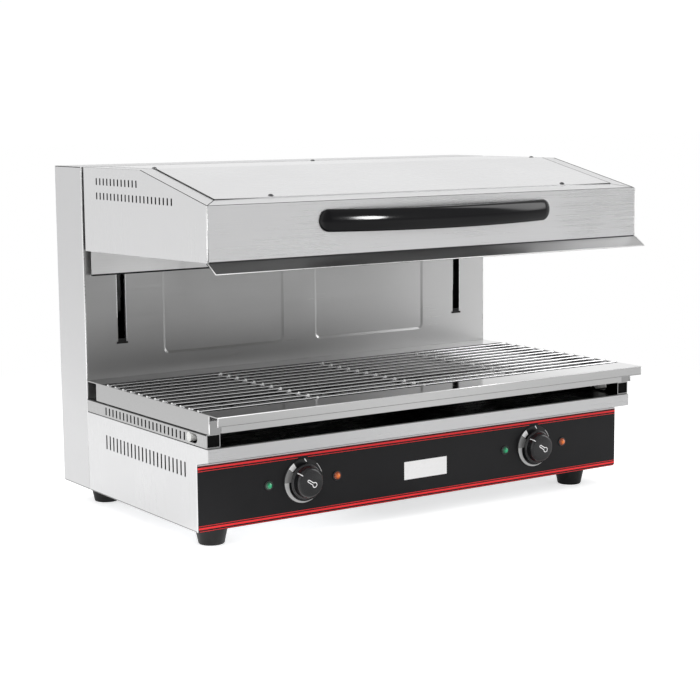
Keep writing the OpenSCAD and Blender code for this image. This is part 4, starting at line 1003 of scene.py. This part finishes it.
# ------------------------------ camera
# The camera sees the part at the photograph's angle, with the photograph's lens.
FOCAL_PX, FRAME_PX, SENSOR_MM = 1719.1, 700, 36.0
CAMERA_AT = at(-1562, -2459, 599)
AZIMUTH, DOWN, ROLL = math.radians(34.11), math.radians(8.0), math.radians(-0.46)
forward = Vector((math.sin(AZIMUTH) * math.cos(DOWN), math.cos(AZIMUTH) * math.cos(DOWN),
                  -math.sin(DOWN)))
level = forward.cross(Vector((0, 0, 1))).normalized()
upward = level.cross(forward)
right = level * math.cos(ROLL) + upward * math.sin(ROLL)
above = upward * math.cos(ROLL) - level * math.sin(ROLL)
lens_data = bpy.data.cameras.new("photo_camera")
lens_data.sensor_width = SENSOR_MM
lens_data.lens = FOCAL_PX * SENSOR_MM / FRAME_PX
lens_data.clip_start, lens_data.clip_end = 0.05, 60
camera = bpy.data.objects.new("photo_camera", lens_data)
bpy.context.scene.collection.objects.link(camera)
turn = Matrix((right, above, -forward)).transposed().to_4x4()
camera.matrix_world = Matrix.Translation(CAMERA_AT) @ turn
bpy.context.scene.camera = camera


# ------------------------------ studio
def area_light(name, place, target, size, power):
    """A soft lamp at a place, turned to a target, that mirrors don't show."""
    data = bpy.data.lights.new(name, "AREA")
    data.shape = "RECTANGLE"
    data.size, data.size_y = size
    data.energy = power
    lamp = bpy.data.objects.new(name, data)
    bpy.context.scene.collection.objects.link(lamp)
    lamp.location = place
    lamp.visible_glossy = False
    lamp.rotation_euler = (Vector(target) - Vector(place)).to_track_quat("-Z", "Y").to_euler()
    return lamp


MIDDLE = (0, 0, 0.3)
# Place and size in metres, and power in watts
for name, place, size, power in (("key_softbox", (-2.2, -1.6, 2.0), (1.6, 1.6), 34),
                                 ("top_softbox", (0.2, 0.4, 2.6), (2.6, 2.0), 26),
                                 ("front_fill", (1.4, -2.8, 1.2), (1.2, 1.4), 14)):
    area_light(name, place, MIDDLE, size, power)
# A small lamp for the glint on the handle's gloss, which lights nothing else
glint = area_light("handle_glint", at(239, -1552, 571), at(-140, -420, 446), (0.19, 0.25), 8)
glint.data.shape = "ELLIPSE"
glint.visible_glossy = True
glint.visible_camera = False
handle_only = bpy.data.collections.new("handle_only")
handle_only.objects.link(handle_grip)
glint.light_linking.receiver_collection = handle_only


# What mirrors show of the room ahead of the part: (share to the right, level), from left to right
FRONT_ROOM = ((-1, 1), (-0.94, 1.5), (-0.8, 1.5), (-0.6, 0.8), (0, 0.5), (0.3, 0.68),
              (0.484, 0.78), (0.682, 0.69), (0.85, 0.68), (1, 0.85))
# Where the room ahead turns into the white room behind, as shares to the back
AHEAD_END, BEHIND_START = -0.35, 0.25
# Lamps that only glossy things show: direction, half width and height as sines, level
LAMPS = (((0.8, -0.45, 0.4), 0.16, 0.45, 5.0),)
# The world's light on the part, and its white to the camera
FILL, CAMERA_WHITE = 0.62, 1.02
# What the floor adds to its own light: to the camera, and to mirrors
FLOOR_GLOW, FLOOR_MIRRORED = 0.6, 0.42
# How far out, in metres, the floor starts to turn plain white, is plain white, and ends
FLOOR_NEAR, FLOOR_FAR, FLOOR_HALF = 0.7, 1.6, 30


class Stage(Nodes):
    """Short calls that build the node trees of world and floor."""

    def __init__(self, tree):
        super().__init__(tree)
        self.path = self.add("ShaderNodeLightPath").outputs

    def curve(self, value, points):
        """A smooth line through (value, level) points, for values from -1 to 1."""
        node = self.add("ShaderNodeFloatCurve")
        mapping = node.mapping
        knots = mapping.curves[0].points
        mapping.clip_min_x, mapping.clip_min_y = -1, 0
        mapping.clip_max_x, mapping.clip_max_y = 1, 2
        knots[0].location, knots[1].location = points[0], points[-1]
        for point in points[1:-1]:
            knots.new(*point)
        mapping.update()
        self.feed(node.inputs["Value"], value)
        return node.outputs["Value"]

    def room(self, vector):
        """What metal sees of the room, by the direction round the part: white behind it and at
        the far sides, grey towards the front and right, darkest straight ahead."""
        parts = self.split(vector)
        x, y = parts["X"], parts["Y"]
        reach = self.math("SQRT", self.math(
            "ADD", self.math("MULTIPLY", x, x), self.math("MULTIPLY", y, y)))
        reach = self.math("MAXIMUM", reach, 0.0001)
        front = self.curve(self.math("DIVIDE", x, reach), FRONT_ROOM)
        behind = self.math("DIVIDE", y, reach)
        share = self.ramp(behind, AHEAD_END, BEHIND_START, shape="SMOOTHSTEP")
        return self.mix(share, front, 1.0)

    def patch(self, vector, centre, across, along, level):
        """A soft lamp in the room round the direction centre: half its width and height as
        sines."""
        middle = Vector(centre).normalized()
        flat = Vector((-middle.y, middle.x, 0)).normalized()
        steep = middle.cross(flat)
        squares = []
        for axis, size in ((flat, across), (steep, along)):
            share = self.dot(vector, axis / size)
            squares.append(self.math("MULTIPLY", share, share))
        soft = self.ramp(self.math("ADD", *squares), 1.0, 0.5, 0.0, level, "SMOOTHSTEP")
        ahead = self.math("GREATER_THAN", self.dot(vector, middle), 0.0)
        return self.math("MULTIPLY", soft, ahead)

    def mirrored(self):
        """1 for glossy and transmission rays."""
        return self.math("MAXIMUM", self.path["Is Glossy Ray"], self.path["Is Transmission Ray"])


def build_world():
    """White to the camera, a graded room to mirrors, and a plain fill to everything else."""
    world = bpy.data.worlds.new("studio")
    bpy.context.scene.world = world
    world.use_nodes = True
    world.node_tree.nodes.clear()
    stage = Stage(world.node_tree)
    direction = stage.add("ShaderNodeTexCoord").outputs["Generated"]
    room = stage.room(direction)
    for lamp in LAMPS:
        room = stage.math("ADD", room, stage.patch(direction, *lamp))
    level = stage.mix(stage.mirrored(), FILL, room)
    level = stage.mix(stage.path["Is Camera Ray"], level, CAMERA_WHITE)
    background = stage.add("ShaderNodeBackground")
    stage.feed(background.inputs["Color"], (1, 1, 1))
    stage.feed(background.inputs["Strength"], level)
    output = stage.add("ShaderNodeOutputWorld")
    stage.feed(output.inputs["Surface"], background.outputs[0])


def build_floor():
    """A pale floor. To the camera it glows up to white, and is plain white further out; to
    mirrors it shows the graded room."""
    mesh = bpy.data.meshes.new("floor")
    half = FLOOR_HALF
    corners = [(-half, -half, 0), (half, -half, 0), (half, half, 0), (-half, half, 0)]
    mesh.from_pydata(corners, [], [(0, 1, 2, 3)])
    floor = bpy.data.objects.new("floor", mesh)
    bpy.context.scene.collection.objects.link(floor)
    material = bpy.data.materials.new("pale_floor")
    material.use_nodes = True
    tree = material.node_tree
    stage = Stage(tree)
    bsdf = tree.nodes["Principled BSDF"]
    for name, value in (("Base Color", grey(0.8)), ("Roughness", 0.9), ("Specular IOR Level", 0.0)):
        stage.feed(bsdf.inputs[name], value)
    place = stage.add("ShaderNodeNewGeometry").outputs["Position"]
    length = stage.add("ShaderNodeVectorMath", operation="LENGTH")
    stage.feed(length.inputs[0], place)
    far = stage.ramp(length.outputs["Value"], FLOOR_NEAR, FLOOR_FAR, shape="SMOOTHSTEP")
    camera_ray = stage.path["Is Camera Ray"]
    # The part's own light falls away where the floor turns plain white
    plain = stage.math("MULTIPLY", camera_ray, far)
    lit = stage.math("SUBTRACT", 1.0, plain)
    glow = stage.math("MULTIPLY", camera_ray, stage.math(
        "ADD", stage.math("MULTIPLY", lit, FLOOR_GLOW), plain))
    room = stage.math("SUBTRACT", stage.room(place), 1.0 - FLOOR_MIRRORED)
    glow = stage.math("ADD", glow, stage.math(
        "MULTIPLY", stage.mirrored(), stage.math("MAXIMUM", room, 0.0)))
    emission, black = stage.add("ShaderNodeEmission"), stage.add("ShaderNodeEmission")
    fade, total = stage.add("ShaderNodeMixShader"), stage.add("ShaderNodeAddShader")
    for socket, value in ((emission.inputs["Strength"], glow), (black.inputs["Strength"], 0.0),
                          (fade.inputs[0], plain), (fade.inputs[1], bsdf.outputs[0]),
                          (fade.inputs[2], black.outputs[0]), (total.inputs[0], fade.outputs[0]),
                          (total.inputs[1], emission.outputs[0]),
                          (tree.nodes["Material Output"].inputs["Surface"], total.outputs[0])):
        stage.feed(socket, value)
    mesh.materials.append(material)


build_world()
build_floor()

bpy.context.scene.view_settings.view_transform = "Standard"
